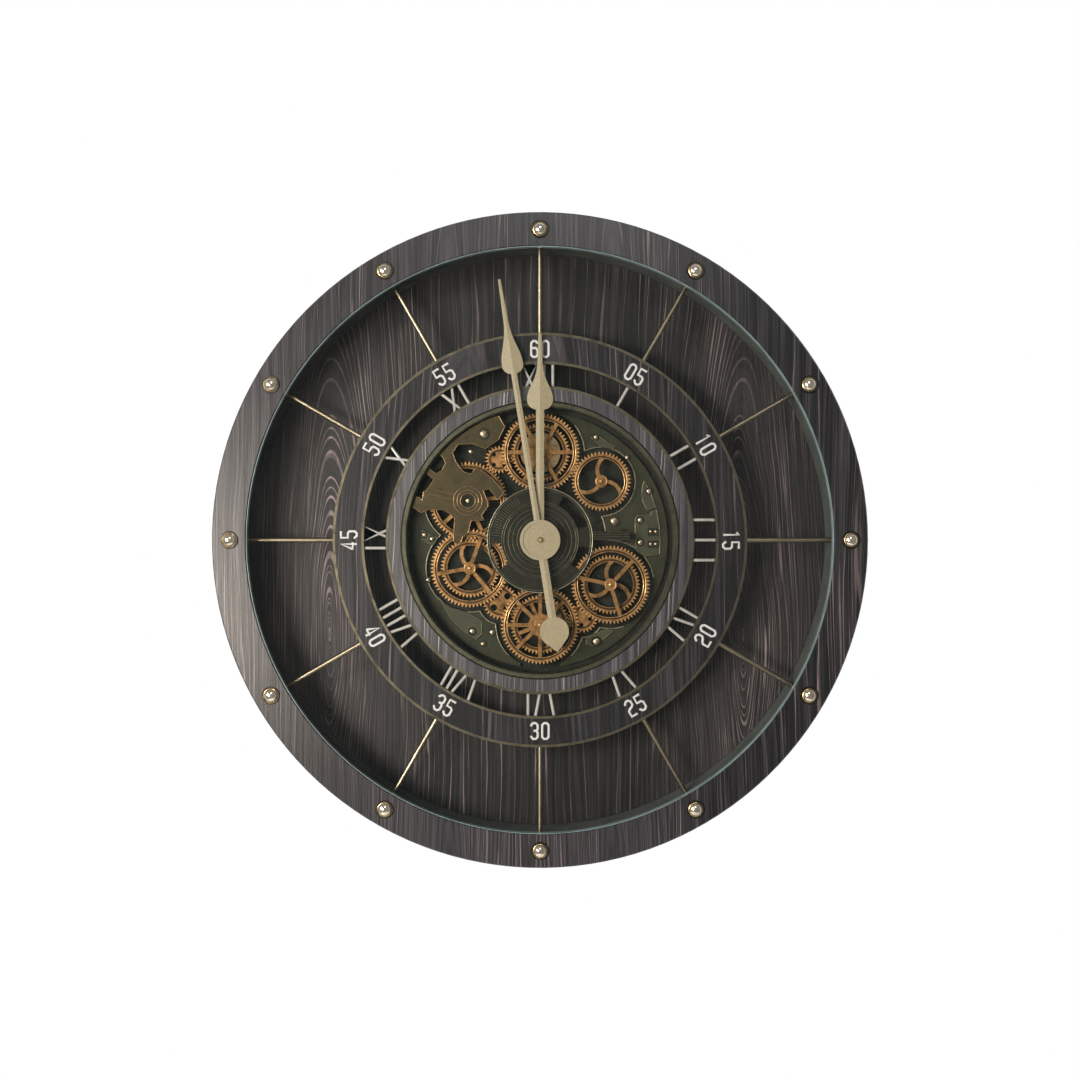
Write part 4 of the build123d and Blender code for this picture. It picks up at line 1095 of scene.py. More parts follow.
def add_cross(
    mesh: Mesh,
    center: Point,
    depth: float,
    reach: float,
    turn: float,
    rise: float = 0.08 * MM,
    width: float = 0.3,
) -> None:
    """Adds the dark cross of a screw, just proud of its head, as the painted shade of its cross recess.

    Args:
        mesh: Mesh that it is added to.
        center: Middle of the screw, across and up.
        depth: Depth of the head's face.
        reach: Half of the cross's length.
        turn: Angle that the cross is turned by.
        rise: Thickness of the cross.
        width: Width of a bar of the cross as a part of the reach.
    """
    middle = Matrix.Translation((center[0], -depth, center[1]))
    for angle in (turn, turn + 90.0):
        place = middle @ Matrix.Rotation(math.radians(angle), 4, "Y")
        add_box(mesh, place, (2 * reach, rise, width * reach))


def bevel(mesh: Mesh, edges: Sequence[bmesh.types.BMEdge], width: float) -> None:
    """Takes the corner off some edges of a mesh."""
    bmesh.ops.bevel(mesh, geom=edges, offset=width, segments=1, profile=0.5, affect="EDGES", material=-1)


def add_plate(mesh: Mesh, outline: Sequence[Point], back: float, rise: float, width: float) -> None:
    """Adds a flat plate with bevelled front edges.

    Args:
        mesh: Mesh that it is added to.
        outline: Its corners in order, across and up.
        back: Depth of its back.
        rise: Its thickness.
        width: Width of the bevel.
    """
    corners = [mesh.verts.new((x, -back, z)) for x, z in outline]
    edges = [mesh.edges.new(pair) for pair in zip(corners, corners[1:] + corners[:1])]
    face = bmesh.ops.contextual_create(mesh, geom=edges)["faces"][0]
    moved = bmesh.ops.extrude_face_region(mesh, geom=[face])["geom"]
    front = [item for item in moved if isinstance(item, bmesh.types.BMVert)]
    bmesh.ops.translate(mesh, verts=front, vec=(0.0, -rise, 0.0))
    bevel(mesh, [item for item in moved if isinstance(item, bmesh.types.BMEdge)], width)


def add_outline(mesh: Mesh, outline: Sequence[Point], depth: float, radius: float) -> None:
    """Adds a round edging along a closed outline.

    Args:
        mesh: Mesh that it is added to.
        outline: Its corners in order, across and up.
        depth: Depth of the middle of the edging.
        radius: Half of its thickness.
    """
    corners = [Vector((x, -depth, z)) for x, z in outline]
    for start, end in zip(corners, corners[1:] + corners[:1]):
        add_bar(mesh, start, end, radius)


def node_copy(node: str) -> Mesh:
    """Copies a CAD node's mesh and joins each flat side to one face.

    Args:
        node: The node.

    Returns:
        The copy's mesh.
    """
    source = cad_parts[node]
    mesh = bmesh.new()
    mesh.from_mesh(source.data)
    mesh.transform(source.matrix_world)
    bmesh.ops.remove_doubles(mesh, verts=mesh.verts, dist=WELD)
    limit = math.radians(FLAT_UP_TO)
    bmesh.ops.dissolve_limit(mesh, angle_limit=limit, verts=mesh.verts, edges=mesh.edges)
    bmesh.ops.recalc_face_normals(mesh, faces=mesh.faces)
    return mesh


def outer_edges(mesh: Mesh) -> list[bmesh.types.BMEdge]:
    """Returns the edges at which a mesh has an outward corner."""
    whole = [edge for edge in mesh.edges if edge.is_manifold]
    return [edge for edge in whole if edge.calc_face_angle_signed(0.0) > EDGE_FROM]


def runs(flags: Sequence[bool]) -> list[tuple[int, int]]:
    """Finds the unbroken runs of true values on a closed round.

    Args:
        flags: The values, of which the last is next to the first.

    Returns:
        First index and length of each run.
    """
    count = len(flags)
    if all(flags):
        return [(0, count + 1)]
    found = []
    for start in range(count):
        if flags[start] and not flags[start - 1]:
            length = 1
            while flags[(start + length) % count]:
                length += 1
            found.append((start, length))
    return found


# Sub-assemblies


@dataclass
class Case:
    """Rim with its studs, drum, back panel and hanger.

    Attributes:
        stud_circle: Radius of the circle that the studs stand on.
        stud_radius: Radius of a stud.
        collar: Half of the thickness of the bead round a stud.
        cup_radius: Radius of the cup under a stud.
        cup_inset: How far the cup reaches under the stud.
        cup_lip: How far the cup's lip stands out of its floor.
        lip_foot: How far behind the floor the lip's outer slope starts.
        lip_steps: Distances of the lip's outer edge, inner edge and inner foot from the cup's side.
        opening_radius: Radius of the rim's opening.
        band_thickness: Thickness of the band that lines the opening.
        band_setback: How far the band stays behind the rim's front.
    """

    stud_circle: float = 379.0 * MM
    stud_radius: float = 8.0 * MM
    collar: float = 0.7 * MM
    cup_radius: float = 11.0 * MM
    cup_inset: float = 0.4 * MM
    cup_lip: float = 0.9 * MM
    lip_foot: float = 0.3 * MM
    lip_steps: Triple = (0.7 * MM, 1.7 * MM, 2.6 * MM)
    opening_radius: float = 358.5 * MM
    band_thickness: float = 0.7 * MM
    band_setback: float = 0.4 * MM

    def build(self) -> None:
        """Builds the studs, their cups and the opening's band, and finishes the CAD pieces."""
        self.add_studs()
        self.add_band()
        finish_nodes({
            "rim_ring": RIM_WOOD,
            "case_drum": DRUM_PAINT,
            "rim_carrier": DRUM_PAINT,
            "back_panel": PANEL_WOOD,
            "hanger_plate": STEEL,
            "glass_pane": CLEAR_GLASS,
            "glass_gasket": RUBBER,
        })

    def cup_profile(self, floor: float) -> tuple[Point, ...]:
        """Draws the profile of a stud's cup.

        Args:
            floor: Depth of the cup's floor.

        Returns:
            Its points as (radius, depth), in order.
        """
        foot = front_of("rim_ring")
        inside = self.stud_radius - self.cup_inset
        lip_outer, lip_inner, lip_end = (self.cup_radius - step for step in self.lip_steps)
        return (
            (inside, foot),
            (self.cup_radius, foot),
            (self.cup_radius, floor - self.lip_foot),
            (lip_outer, floor + self.cup_lip),
            (lip_inner, floor + self.cup_lip),
            (lip_end, floor),
            (inside, floor),
        )

    def add_studs(self) -> None:
        """Builds the domed studs, their collars and the cups that they sit in."""
        domes = bmesh.new()
        cups = bmesh.new()
        collars = bmesh.new()
        floor = front_of("rim_stud_washers")
        height = front_of("rim_studs") - floor
        for hour in range(HOURS):
            spot = dial_point(self.stud_circle, HOUR_ANGLE * hour, floor)
            center = (spot.x, spot.z)
            add_dome(domes, spot, self.stud_radius, height, sides=28, rings=16)
            add_turned(cups, self.cup_profile(floor), center, steps=36)
            add_bead(collars, self.stud_radius, floor, center, self.collar, steps=32)
        add_piece(domes, "rim_stud_domes", STUD_NICKEL, ("rim_studs",))
        # The dark cups are dark metal and also a painted shadow round the studs
        add_piece(cups, "rim_stud_cups", CUP_DARK, ("rim_stud_washers",))
        add_piece(collars, "rim_stud_collars", BRASS)

    def add_band(self) -> None:
        """Builds the thin metal band that lines the rim's opening."""
        band = bmesh.new()
        back = front_of("glass_pane")
        front = front_of("rim_ring") - self.band_setback
        outside = self.opening_radius
        inside = outside - self.band_thickness
        profile = ((inside, back), (outside, back), (outside, front), (inside, front))
        add_turned(band, profile, MIDDLE, steps=180)
        add_piece(band, "rim_lip_band", LIP_EDGE)


@dataclass
class Dial:
    """Rings, rods and hour numerals of the dial.

    Attributes:
        rod_radius: Radius of a rod.
        rod_start: Distance from the axis at which the rods start.
        rod_end: Distance at which they end.
        numeral_bevel: Width of the bevel on the hour numerals.
        numeral_foot: Distance from the numerals' back up to which their edges stay sharp.
    """

    rod_radius: float = 3.0 * MM
    rod_start: float = 257.3 * MM
    rod_end: float = 361.9 * MM
    numeral_bevel: float = 0.9 * MM
    numeral_foot: float = 0.1 * MM

    def build(self) -> None:
        """Builds the round rods and the numerals, and finishes the CAD pieces."""
        self.add_rods()
        self.add_numerals()
        finish_nodes({
            "minute_ring": RING_WOOD,
            "inner_ring": INNER_WOOD,
            "minute_ring_outer_edge": EDGE_BRONZE,
            "minute_ring_inner_edge": EDGE_BRONZE,
            "inner_ring_edge": EDGE_BRONZE,
            "movement_bezel": BEZEL_BRONZE,
        })

    def add_rods(self) -> None:
        """Builds the rods between the minute ring and the drum."""
        rods = bmesh.new()
        depth = (front_of("spoke_rods") + back_of("spoke_rods")) / 2
        for hour in range(HOURS):
            start = dial_point(self.rod_start, HOUR_ANGLE * hour, depth)
            end = dial_point(self.rod_end, HOUR_ANGLE * hour, depth)
            add_bar(rods, start, end, self.rod_radius, sides=20)
        add_piece(rods, "dial_rods", ROD_NICKEL, ("spoke_rods",))

    def add_numerals(self) -> None:
        """Builds the hour numerals with bevelled front edges."""
        mesh = node_copy("hour_numerals")
        foot = max(vert.co.y for vert in mesh.verts) - self.numeral_foot
        front = [edge for edge in outer_edges(mesh) if all(vert.co.y < foot for vert in edge.verts)]
        bevel(mesh, front, self.numeral_bevel)
        add_piece(mesh, "dial_numerals", NUMERAL_SILVER, ("hour_numerals",))


# Strokes of each digit in a box of width and height 1
DIGIT_STROKES: dict[str, tuple[tuple[Point, ...], ...]] = {
    "0": (((0.3, 0), (0.7, 0), (1, 0.13), (1, 0.87), (0.7, 1), (0.3, 1), (0, 0.87), (0, 0.13), (0.3, 0)),),
    "1": (((0.18, 0.84), (0.55, 1), (0.55, 0)),),
    "2": (
        (
            (0, 0.8), (0, 0.87), (0.3, 1), (0.7, 1), (1, 0.87), (1, 0.64), (0.7, 0.53),
            (0.3, 0.47), (0, 0.36), (0, 0), (1, 0),
        ),
    ),
    "3": (
        ((0, 0.8), (0, 0.87), (0.3, 1), (0.7, 1), (1, 0.87), (1, 0.62), (0.78, 0.51)),
        ((0.35, 0.51), (0.78, 0.51), (1, 0.4), (1, 0.13), (0.7, 0), (0.3, 0), (0, 0.13), (0, 0.2)),
    ),
    "4": (((0.72, 0), (0.72, 1), (0, 0.32), (0, 0.26), (1, 0.26)),),
    "5": (
        (
            (1, 1), (0, 1), (0, 0.57), (0.7, 0.57), (1, 0.46), (1, 0.13), (0.7, 0),
            (0.3, 0), (0, 0.13), (0, 0.2),
        ),
    ),
    "6": (
        (
            (1, 0.82), (1, 0.87), (0.7, 1), (0.3, 1), (0, 0.87), (0, 0.13), (0.3, 0),
            (0.7, 0), (1, 0.13), (1, 0.44), (0.7, 0.56), (0, 0.56),
        ),
    ),
}


@dataclass
class MinuteFigures:
    """White minute figures on the outer ring, in slight relief.

    Attributes:
        radius: Distance of their middles from the axis.
        height: Height of a figure.
        width: Width of one digit.
        gap: Space between the digits of a figure.
        stroke: Width of the strokes.
        relief: How far they stand out of the ring.
        turned: Dial angles between which the figures stand with their heads inward.
    """

    radius: float = 237.0 * MM
    height: float = 22.7 * MM
    width: float = 11.0 * MM
    gap: float = 2.6 * MM
    stroke: float = 3.0 * MM
    relief: float = 0.7 * MM
    turned: Point = (100.0, 260.0)

    def build(self) -> None:
        """Builds the twelve figures as one piece."""
        mesh = bmesh.new()
        for hour in range(HOURS):
            self.add_figure(mesh, f"{5 * hour or 60:02d}", HOUR_ANGLE * hour)
        add_piece(mesh, "minute_figures", WHITE_PAINT)

    def add_figure(self, mesh: Mesh, label: str, angle: float) -> None:
        """Adds one figure of two digits.

        Args:
            mesh: Mesh that it is added to.
            label: The two digits.
            angle: Its dial angle.
        """
        first, last = self.turned
        facing = angle + FULL_TURN / 2 if first < angle < last else angle
        place = Matrix.Translation(dial_point(self.radius, angle, front_of("minute_ring")))
        place = place @ Matrix.Rotation(math.radians(facing), 4, "Y")
        across = self.width - self.stroke
        up = self.height - self.stroke
        for index, digit in enumerate(label):
            left = (index - 0.5) * (self.width + self.gap) - across / 2
            for stroke in DIGIT_STROKES[digit]:
                self.add_stroke(mesh, [(left + x * across, (y - 0.5) * up) for x, y in stroke], place)

    def add_stroke(self, mesh: Mesh, points: Sequence[Point], place: Matrix) -> None:
        """Adds a rounded stroke along a line of points.

        Args:
            mesh: Mesh that it is added to.
            points: Points across and up, in the figure's own frame.
            place: Where the figure stands.
        """
        curve = bpy.data.curves.new("stroke", "CURVE")
        curve.dimensions = "3D"
        curve.bevel_depth = self.stroke / 2
        curve.bevel_resolution = 2
        curve.use_fill_caps = True
        closed = points[0] == points[-1]
        used = points[:-1] if closed else points
        spline = curve.splines.new("POLY")
        spline.points.add(len(used) - 1)
        for spot, (across, up) in zip(spline.points, used):
            spot.co = (across, 0.0, up, 1.0)
        spline.use_cyclic_u = closed
        holder = bpy.data.objects.new("stroke", curve)
        drawn = bpy.data.meshes.new_from_object(holder)
        drawn.transform(place @ Matrix.Diagonal((1.0, self.relief / (self.stroke / 2), 1.0, 1.0)))
        mesh.from_mesh(drawn)
        bpy.data.objects.remove(holder)
        bpy.data.curves.remove(curve)
        bpy.data.meshes.remove(drawn)


@dataclass
class GearTrain:
    """Toothed wheels with their turned beads, bright as worn metal with a painted highlight, and grooves
    darkened as painted shade.

    Attributes:
        face: Depth of the front faces of the wheels.
        tooth_height: Distance from the tips of the teeth to the rim's face.
        rim_width: Width of the rim's face.
        bead: Half of a bead's thickness.
        outer_inset: Distance of the outer bead from the outside of the rim's face.
        inner_inset: Distance of the inner bead from its inside.
        hub_radius: Radius of a hub.
        hub_rise: How far a hub stands out of the wheel's face.
        hub_inset: Distance of the bead on a hub from the hub's side.
        cap_radius: Radius of the domed cap on a hub.
        cap_height: Its height.
    """

    face: float = 46.8 * MM
    tooth_height: float = 4.8 * MM
    rim_width: float = 4.0 * MM
    bead: float = 0.55 * MM
    outer_inset: float = 0.5 * MM
    inner_inset: float = 0.6 * MM
    hub_radius: float = 7.8 * MM
    hub_rise: float = 2.4 * MM
    hub_inset: float = 1.2 * MM
    cap_radius: float = 2.6 * MM
    cap_height: float = 1.2 * MM

    def build(self) -> None:
        """Builds the beads and finishes the CAD wheels."""
        for node, body in WHEELS.items():
            self.add_beads(node, body)
        wheels = (*WHEELS, *REAR_WHEELS, *IDLERS)
        finish_nodes({node: self.copper(node) for node in wheels})
        finish_nodes({"spring_barrel": BARREL_BRONZE, "motor_shaft": STEEL})

    def copper(self, node: str) -> GearCopper:
        """Returns the copper of one wheel, shaded round its own middle."""
        return replace(COPPER, name=f"copper_{node}", center=center_of(node), tip=tip_of(node))

    def add_beads(self, node: str, body: Body) -> None:
        """Builds the beads on one wheel's rim and hub, and the cap on its hub.

        Args:
            node: CAD node of the wheel.
            body: Body that it turns with.
        """
        center = center_of(node)
        outer = tip_of(node) - self.tooth_height
        inner = outer - self.rim_width
        hub_face = self.face + self.hub_rise
        beads = bmesh.new()
        for radius in (inner + self.inner_inset, outer - self.outer_inset):
            add_bead(beads, radius, self.face, center, self.bead, steps=96)
        add_bead(beads, self.hub_radius - self.hub_inset, hub_face, center, self.bead, steps=32)
        cap = Vector((center[0], -hub_face, center[1]))
        add_dome(beads, cap, self.cap_radius, self.cap_height, sides=20)
        add_piece(beads, f"{node}_beads", COPPER_BRIGHT, body=body)


@dataclass(frozen=True)
class Rivet:
    """A rivet head.

    Attributes:
        spot: Its middle, across and up, in millimetres.
        radius: Its radius in millimetres.
        lift: How far its seat is in front of the cover plates, in millimetres.
    """

    spot: Point
    radius: float
    lift: float = 0.0


@dataclass
class CoverPlates:
    """Base, cover plates and what stands on them.

    Attributes:
        radius: Radius of the cover plates.
        plates: Outlines of the small plates, across and up, in millimetres.
        plate_rise: How far the small plates stand out of the cover plates.
        plate_bevel: Width of the bevel on them.
        edge_radius: Half of the thickness of their bright edging, which is worn metal with a painted
            highlight.
        shadow_gap_radius: Half of the width of the dark bars round them, which are a painted shadow.
        recesses: Outlines of dark plates that stand for the shade in recesses, a painted shadow, across and
            up, in millimetres.
        recess_rise: Thickness of these dark painted-shadow plates.
        recess_bevel: Width of the bevel on these.
        rivets: The rivets.
        rivet_height: Height of a rivet head as a part of its radius.
        seat_inside: Radius of the inside of a rivet's seat as a part of the head's radius.
        seat_top: Radius of the top of the seat as such a part.
        seat_foot: Radius of the foot of the seat as such a part.
        pocket_margin: Width of the pocket round a wheel's teeth.
        hub_pocket: Radius of the pocket round the middle.
        lip: Half of the thickness of the lip along a pocket.
        lip_offset: Distance of the lip from the pocket's edge.
        lip_clearance: How far the lip stays out of the next pocket.
        lip_step: Angle between two points at which the lip may start or end.
        lip_least: Number of such steps that the shortest lip exceeds.
    """

    radius: float = 151.5 * MM
    plates: tuple[tuple[Point, ...], ...] = (
        (
            (119.5, -11), (119.5, 27), (122, 31), (139, 31.5), (140, 35.5), (146, 38),
            (149.5, 20), (151, 0), (150, -18), (131, -20), (123, -15),
        ),
        ((131, 74), (129, 69), (127.5, 58), (129, 48.5), (134, 37.5), (145, 41), (139.5, 58)),
        ((64, 128), (78, 116.5), (92, 115), (94, 117), (84, 123), (72, 132)),
        (
            (-127, -72), (-116, -84), (-92, -91), (-73, -101),
            (-73, -118), (-81, -125), (-97, -114), (-112, -99),
        ),
        ((58, -124), (70, -117), (85, -112), (92, -114), (82, -122), (66, -133), (58, -131)),
        ((-148, 13), (-140, 8), (-128, 3), (-134, -6), (-143, -4), (-148, 1)),
    )
    plate_rise: float = 1.3 * MM
    plate_bevel: float = 0.5 * MM
    # The plates' bright edging is worn metal with a painted highlight
    edge_radius: float = 0.5 * MM
    # The dark bars round the small plates are a painted shadow
    shadow_gap_radius: float = 1.2 * MM
    # Dark plates painted as the shadow in the recesses
    recesses: tuple[tuple[Point, ...], ...] = (
        ((135, 5), (149, 5), (149, 15), (135, 15)),
        ((135, -10), (149, -10), (149, -1), (135, -1)),
        ((-84, 123), (-104, 122), (-110, 115), (-111, 107), (-107, 95), (-70, 95), (-66, 113), (-73, 117)),
    )
    recess_rise: float = 1.4 * MM
    recess_bevel: float = 0.05 * MM
    rivets: tuple[Rivet, ...] = (
        Rivet((-69.7, 132.0), 5.75, 17.3),
        Rivet((93.4, 23.7), 5.75),
        Rivet((71.0, -127.5), 5.5),
        Rivet((137.0, 61.3), 4.0),
        Rivet((126.0, 25.0), 4.0),
        Rivet((126.0, -3.0), 4.0),
        Rivet((-84.7, -114.6), 4.25),
        Rivet((-59.8, -115.8), 3.75),
        Rivet((-71.3, -130.5), 3.25),
        Rivet((-140.3, -49.9), 3.25),
        Rivet((-145.0, 6.5), 3.25),
        Rivet((-135.5, 1.5), 3.25),
        Rivet((109.5, 103.5), 3.0),
        Rivet((70.5, 129.0), 3.5),
        Rivet((139.0, 10.5), 2.375),
        Rivet((145.5, 10.5), 2.375),
        Rivet((139.0, -5.0), 2.375),
        Rivet((145.5, -5.0), 2.375),
        Rivet((-86.5, 111.0), 3.25),
    )
    rivet_height: float = 0.5
    seat_inside: float = 0.9
    seat_top: float = 1.2
    seat_foot: float = 1.3
    pocket_margin: float = 5.0 * MM
    hub_pocket: float = 82.0 * MM
    lip: float = 0.7 * MM
    lip_offset: float = 1.0 * MM
    lip_clearance: float = 0.6 * MM
    lip_step: int = 3
    lip_least: int = 2

    def build(self) -> None:
        """Builds the plates, rivets and pocket lips, and finishes the CAD pieces."""
        self.add_plates()
        self.add_rivets()
        self.add_lips()
        # The black base plate is also a painted shade for the trenches round the wheels
        finish_nodes({"gear_housing": HOUSING_PAINT, "base_plate": BASE_BLACK, "cover_plates": GUNMETAL})

    def add_plates(self) -> None:
        """Builds the small raised plates, each with a bright edging of worn metal with a painted highlight,
        and dark bars round it as a painted shadow.
        """
        small = bmesh.new()
        edges = bmesh.new()
        dark = bmesh.new()
        face = front_of("cover_plates")
        for outline in self.plates:
            corners = [(x * MM, z * MM) for x, z in outline]
            add_plate(small, corners, face, self.plate_rise, self.plate_bevel)
            # Bright edging along the plate: worn metal with a painted highlight
            add_outline(edges, corners, face + self.plate_rise - self.edge_radius, self.edge_radius)
            # Dark bars round the plate: a painted shadow
            add_outline(dark, corners, face, self.shadow_gap_radius)
        # Dark plates as a painted shadow in the recesses
        for outline in self.recesses:
            corners = [(x * MM, z * MM) for x, z in outline]
            add_plate(dark, corners, face, self.recess_rise, self.recess_bevel)
        add_piece(small, "cover_small_plates", PLATE_OLIVE)
        add_piece(edges, "cover_plate_edges", PLATE_EDGE)
        # Dark pieces that are painted shadow: the bars round the plates and the recess plates
        add_piece(dark, "cover_recess_shadows", BASE_BLACK)

    def add_rivets(self) -> None:
        """Builds the rivet heads, each in a turned seat."""
        heads = bmesh.new()
        seats = bmesh.new()
        for rivet in self.rivets:
            center = (rivet.spot[0] * MM, rivet.spot[1] * MM)
            radius = rivet.radius * MM
            foot = front_of("cover_plates") + rivet.lift * MM
            top = foot + self.plate_rise
            add_dome(heads, Vector((center[0], -top, center[1])), radius, self.rivet_height * radius)
            shares = (self.seat_inside, self.seat_foot, self.seat_top, self.seat_inside)
            profile = [(share * radius, depth) for share, depth in zip(shares, (foot, foot, top, top))]
            add_turned(seats, profile, center, steps=20)
        add_piece(heads, "cover_rivets", RIVET_NICKEL)
        add_piece(seats, "cover_rivet_seats", GUNMETAL)

    def pockets(self) -> list[tuple[Point, float]]:
        """Returns the middle and radius of each pocket in the cover plates."""
        found = [(center_of(node), tip_of(node) + self.pocket_margin) for node in (*WHEELS, *IDLERS)]
        return found + [(MIDDLE, self.hub_pocket)]

    def add_lips(self) -> None:
        """Builds the raised lip along the edge of each pocket, where the cover plates reach it."""
        mesh = bmesh.new()
        pockets = self.pockets()
        for center, radius in pockets:
            line = radius + self.lip_offset
            others = [pocket for pocket in pockets if pocket[0] != center]
            flags = []
            for angle in range(0, int(FULL_TURN), self.lip_step):
                spot = dial_point(line, angle, 0.0).xz + Vector(center)
                gaps = [(spot - Vector(middle)).length - size for middle, size in others]
                flags.append(min(gaps) > self.lip_clearance and spot.length < self.radius)
            for first, count in runs(flags):
                if count > self.lip_least:
                    run = {"start": self.lip_step * first, "sweep": self.lip_step * (count - 1)}
                    add_bead(mesh, line, front_of("cover_plates"), center, self.lip, steps=120, **run)
        add_piece(mesh, "cover_pocket_lips", GUNMETAL_EDGE)


@dataclass
class Spider:
    """Centre spider: a disc with turned rings, a scale and a rail to its right.

    Attributes:
        step: How far the spider's raised ring stands out of its face.
        edge_ring: Radius of the worn edge of the disc.
        edge_size: Half of that edge's thickness.
        rings: Radii of the turned rings on the face.
        raised_rings: Radii of those on the raised ring.
        line: Half of the thickness of a ring or of a line of the rail.
        rail: Distances from the axis at which the rail's lines start and end.
        rail_height: Height of the rail's middle.
        rail_lines: Heights of its lines from there.
        ticks: Number of ticks of the scale.
        tick: Half of a tick's thickness.
        tick_radii: Distances from the axis at which a tick starts and ends.
        tick_start: Dial angle of the first tick.
        tick_step: Angle between two ticks.
    """

    step: float = 1.0 * MM
    edge_ring: float = 65.4 * MM
    edge_size: float = 0.55 * MM
    rings: tuple[float, ...] = (62.9 * MM, 39.5 * MM, 34.0 * MM, 28.5 * MM)
    raised_rings: tuple[float, ...] = (44.9 * MM, 47.6 * MM)
    line: float = 0.45 * MM
    rail: Point = (67.0 * MM, 111.0 * MM)
    rail_height: float = 5.5 * MM
    rail_lines: tuple[float, ...] = (-4.9 * MM, -1.6 * MM, 1.6 * MM, 4.9 * MM)
    ticks: int = 17
    tick: float = 0.4 * MM
    tick_radii: Point = (50.5 * MM, 60.5 * MM)
    tick_start: float = 276.0
    tick_step: float = 3.4

    def build(self) -> None:
        """Builds the spider's worn edge, rings, rail and scale, and finishes its CAD piece."""
        top = front_of("center_spider")
        face = top - self.step
        edge = bmesh.new()
        add_bead(edge, self.edge_ring, face, MIDDLE, self.edge_size, steps=120)
        add_piece(edge, "spider_ring_edge", GUNMETAL_EDGE)
        lines = bmesh.new()
        for depth, radii in ((face, self.rings), (top, self.raised_rings)):
            for radius in radii:
                add_bead(lines, radius, depth, MIDDLE, self.line, steps=120)
        for height in self.rail_lines:
            start, end = (Vector((reach, -face, self.rail_height + height)) for reach in self.rail)
            add_bar(lines, start, end, self.line)
        for index in range(self.ticks):
            angle = self.tick_start + self.tick_step * index
            start, end = (dial_point(radius, angle, face) for radius in self.tick_radii)
            add_bar(lines, start, end, self.tick, sides=6)
        add_piece(lines, "spider_steps", SPIDER_EDGE)
        finish_nodes({"center_spider": SPIDER_BLACK})


@dataclass
class Bridge:
    """Bridge over the upper left wheel, with its jewel.

    Attributes:
        step: How far the bridge's rib and the boss round its jewel stand out of its face.
        line: Half of the thickness of the trim's lines, which are bright edging: worn metal with a painted
            highlight.
        rings: Radii of the turned rings round the jewel.
        rib_angle: Direction of the rib, in degrees from the right and anticlockwise.
        rib: Distances from the jewel at which the rib's edges start and end.
        rib_half: Half of the rib's width.
        pin_radius: Radius of the pin in the jewel.
        pin_height: How far it stands out of the jewel.
        face_within: How near to the face an edge of the plate is one of its front edges.
    """

    step: float = 1.0 * MM
    line: float = 0.5 * MM
    rings: Triple = (9.2 * MM, 13.2 * MM, 17.8 * MM)
    rib_angle: float = 166.0
    rib: Point = (18.2 * MM, 47.8 * MM)
    rib_half: float = 3.4 * MM
    pin_radius: float = 2.9 * MM
    pin_height: float = 1.5 * MM
    face_within: float = 0.05 * MM

    def build(self) -> None:
        """Builds the pin and the trim of bright edging with a painted highlight, and finishes the CAD
        pieces.
        """
        center = Vector(center_of("bridge_jewel"))
        top = front_of("gear_bridge")
        face = top - self.step
        pin = bmesh.new()
        add_dome(pin, Vector((center.x, -face, center.y)), self.pin_radius, self.pin_height)
        add_piece(pin, "bridge_pin", BRASS)
        trim = bmesh.new()
        for radius in self.rings:
            add_bead(trim, radius, top, tuple(center), self.line, steps=60)
        self.add_rib(trim, center, top)
        self.add_highlight_edges(trim, face)
        add_piece(trim, "bridge_highlight_trim", BRIDGE_EDGE)
        finish_nodes({"gear_bridge": BRIDGE_BRONZE, "bridge_jewel": BASE_BLACK})

    def add_rib(self, mesh: Mesh, center: Vector, depth: float) -> None:
        """Adds bright lines on the two edges of the rib, as a painted highlight.

        Args:
            mesh: Mesh that they are added to.
            center: Middle of the jewel, across and up.
            depth: Depth of the rib's front.
        """
        turn = math.radians(self.rib_angle)
        along = Vector((math.cos(turn), math.sin(turn)))
        side = Vector((-along.y, along.x))
        for offset in (-self.rib_half, self.rib_half):
            spots = [center + along * reach + side * offset for reach in self.rib]
            start, end = (Vector((spot.x, -depth, spot.y)) for spot in spots)
            add_bar(mesh, start, end, self.line)

    def add_highlight_edges(self, mesh: Mesh, depth: float) -> None:
        """Adds bright lines along the front edges of the plate: worn metal with a painted highlight.

        Args:
            mesh: Mesh that it is added to.
            depth: Depth of the plate's face.
        """
        plate = node_copy("gear_bridge")
        for edge in outer_edges(plate):
            first, last = (vert.co for vert in edge.verts)
            if max(abs(first.y + depth), abs(last.y + depth)) < self.face_within:
                add_bar(mesh, first, last, self.line)
        plate.free()


@dataclass
class Hands:
    """Hour and minute hands with their arbors."""

    def build(self) -> None:
        """Finishes the CAD pieces of the hands."""
        finish_nodes({
            "minute_hand": CHAMPAGNE,
            "hour_hand": CHAMPAGNE,
            "hand_nut": BRASS,
            "minute_arbor": STEEL,
            "hour_pipe": STEEL,
            "set_knob": BLACK_PLASTIC,
        })


@dataclass(frozen=True)
class Screw:
    """A cross-head screw on a rear face.

    Attributes:
        radius: Radius of its head.
        height: Height of its head.
        reach: Half of the length of its cross.
    """

    radius: float
    height: float
    reach: float

    def add(self, heads: Mesh, crosses: Mesh, center: Point, depth: float, turn: float) -> None:
        """Adds one such screw.

        Args:
            heads: Mesh that its head is added to.
            crosses: Mesh that its cross is added to.
            center: Its middle, across and up.
            depth: Depth of the face.
            turn: Angle that its cross is turned by.
        """
        add_head(heads, center, depth, self.radius, self.height)
        # Dark cross: painted shade of the cross recess
        add_cross(crosses, center, depth - self.height, self.reach, turn)


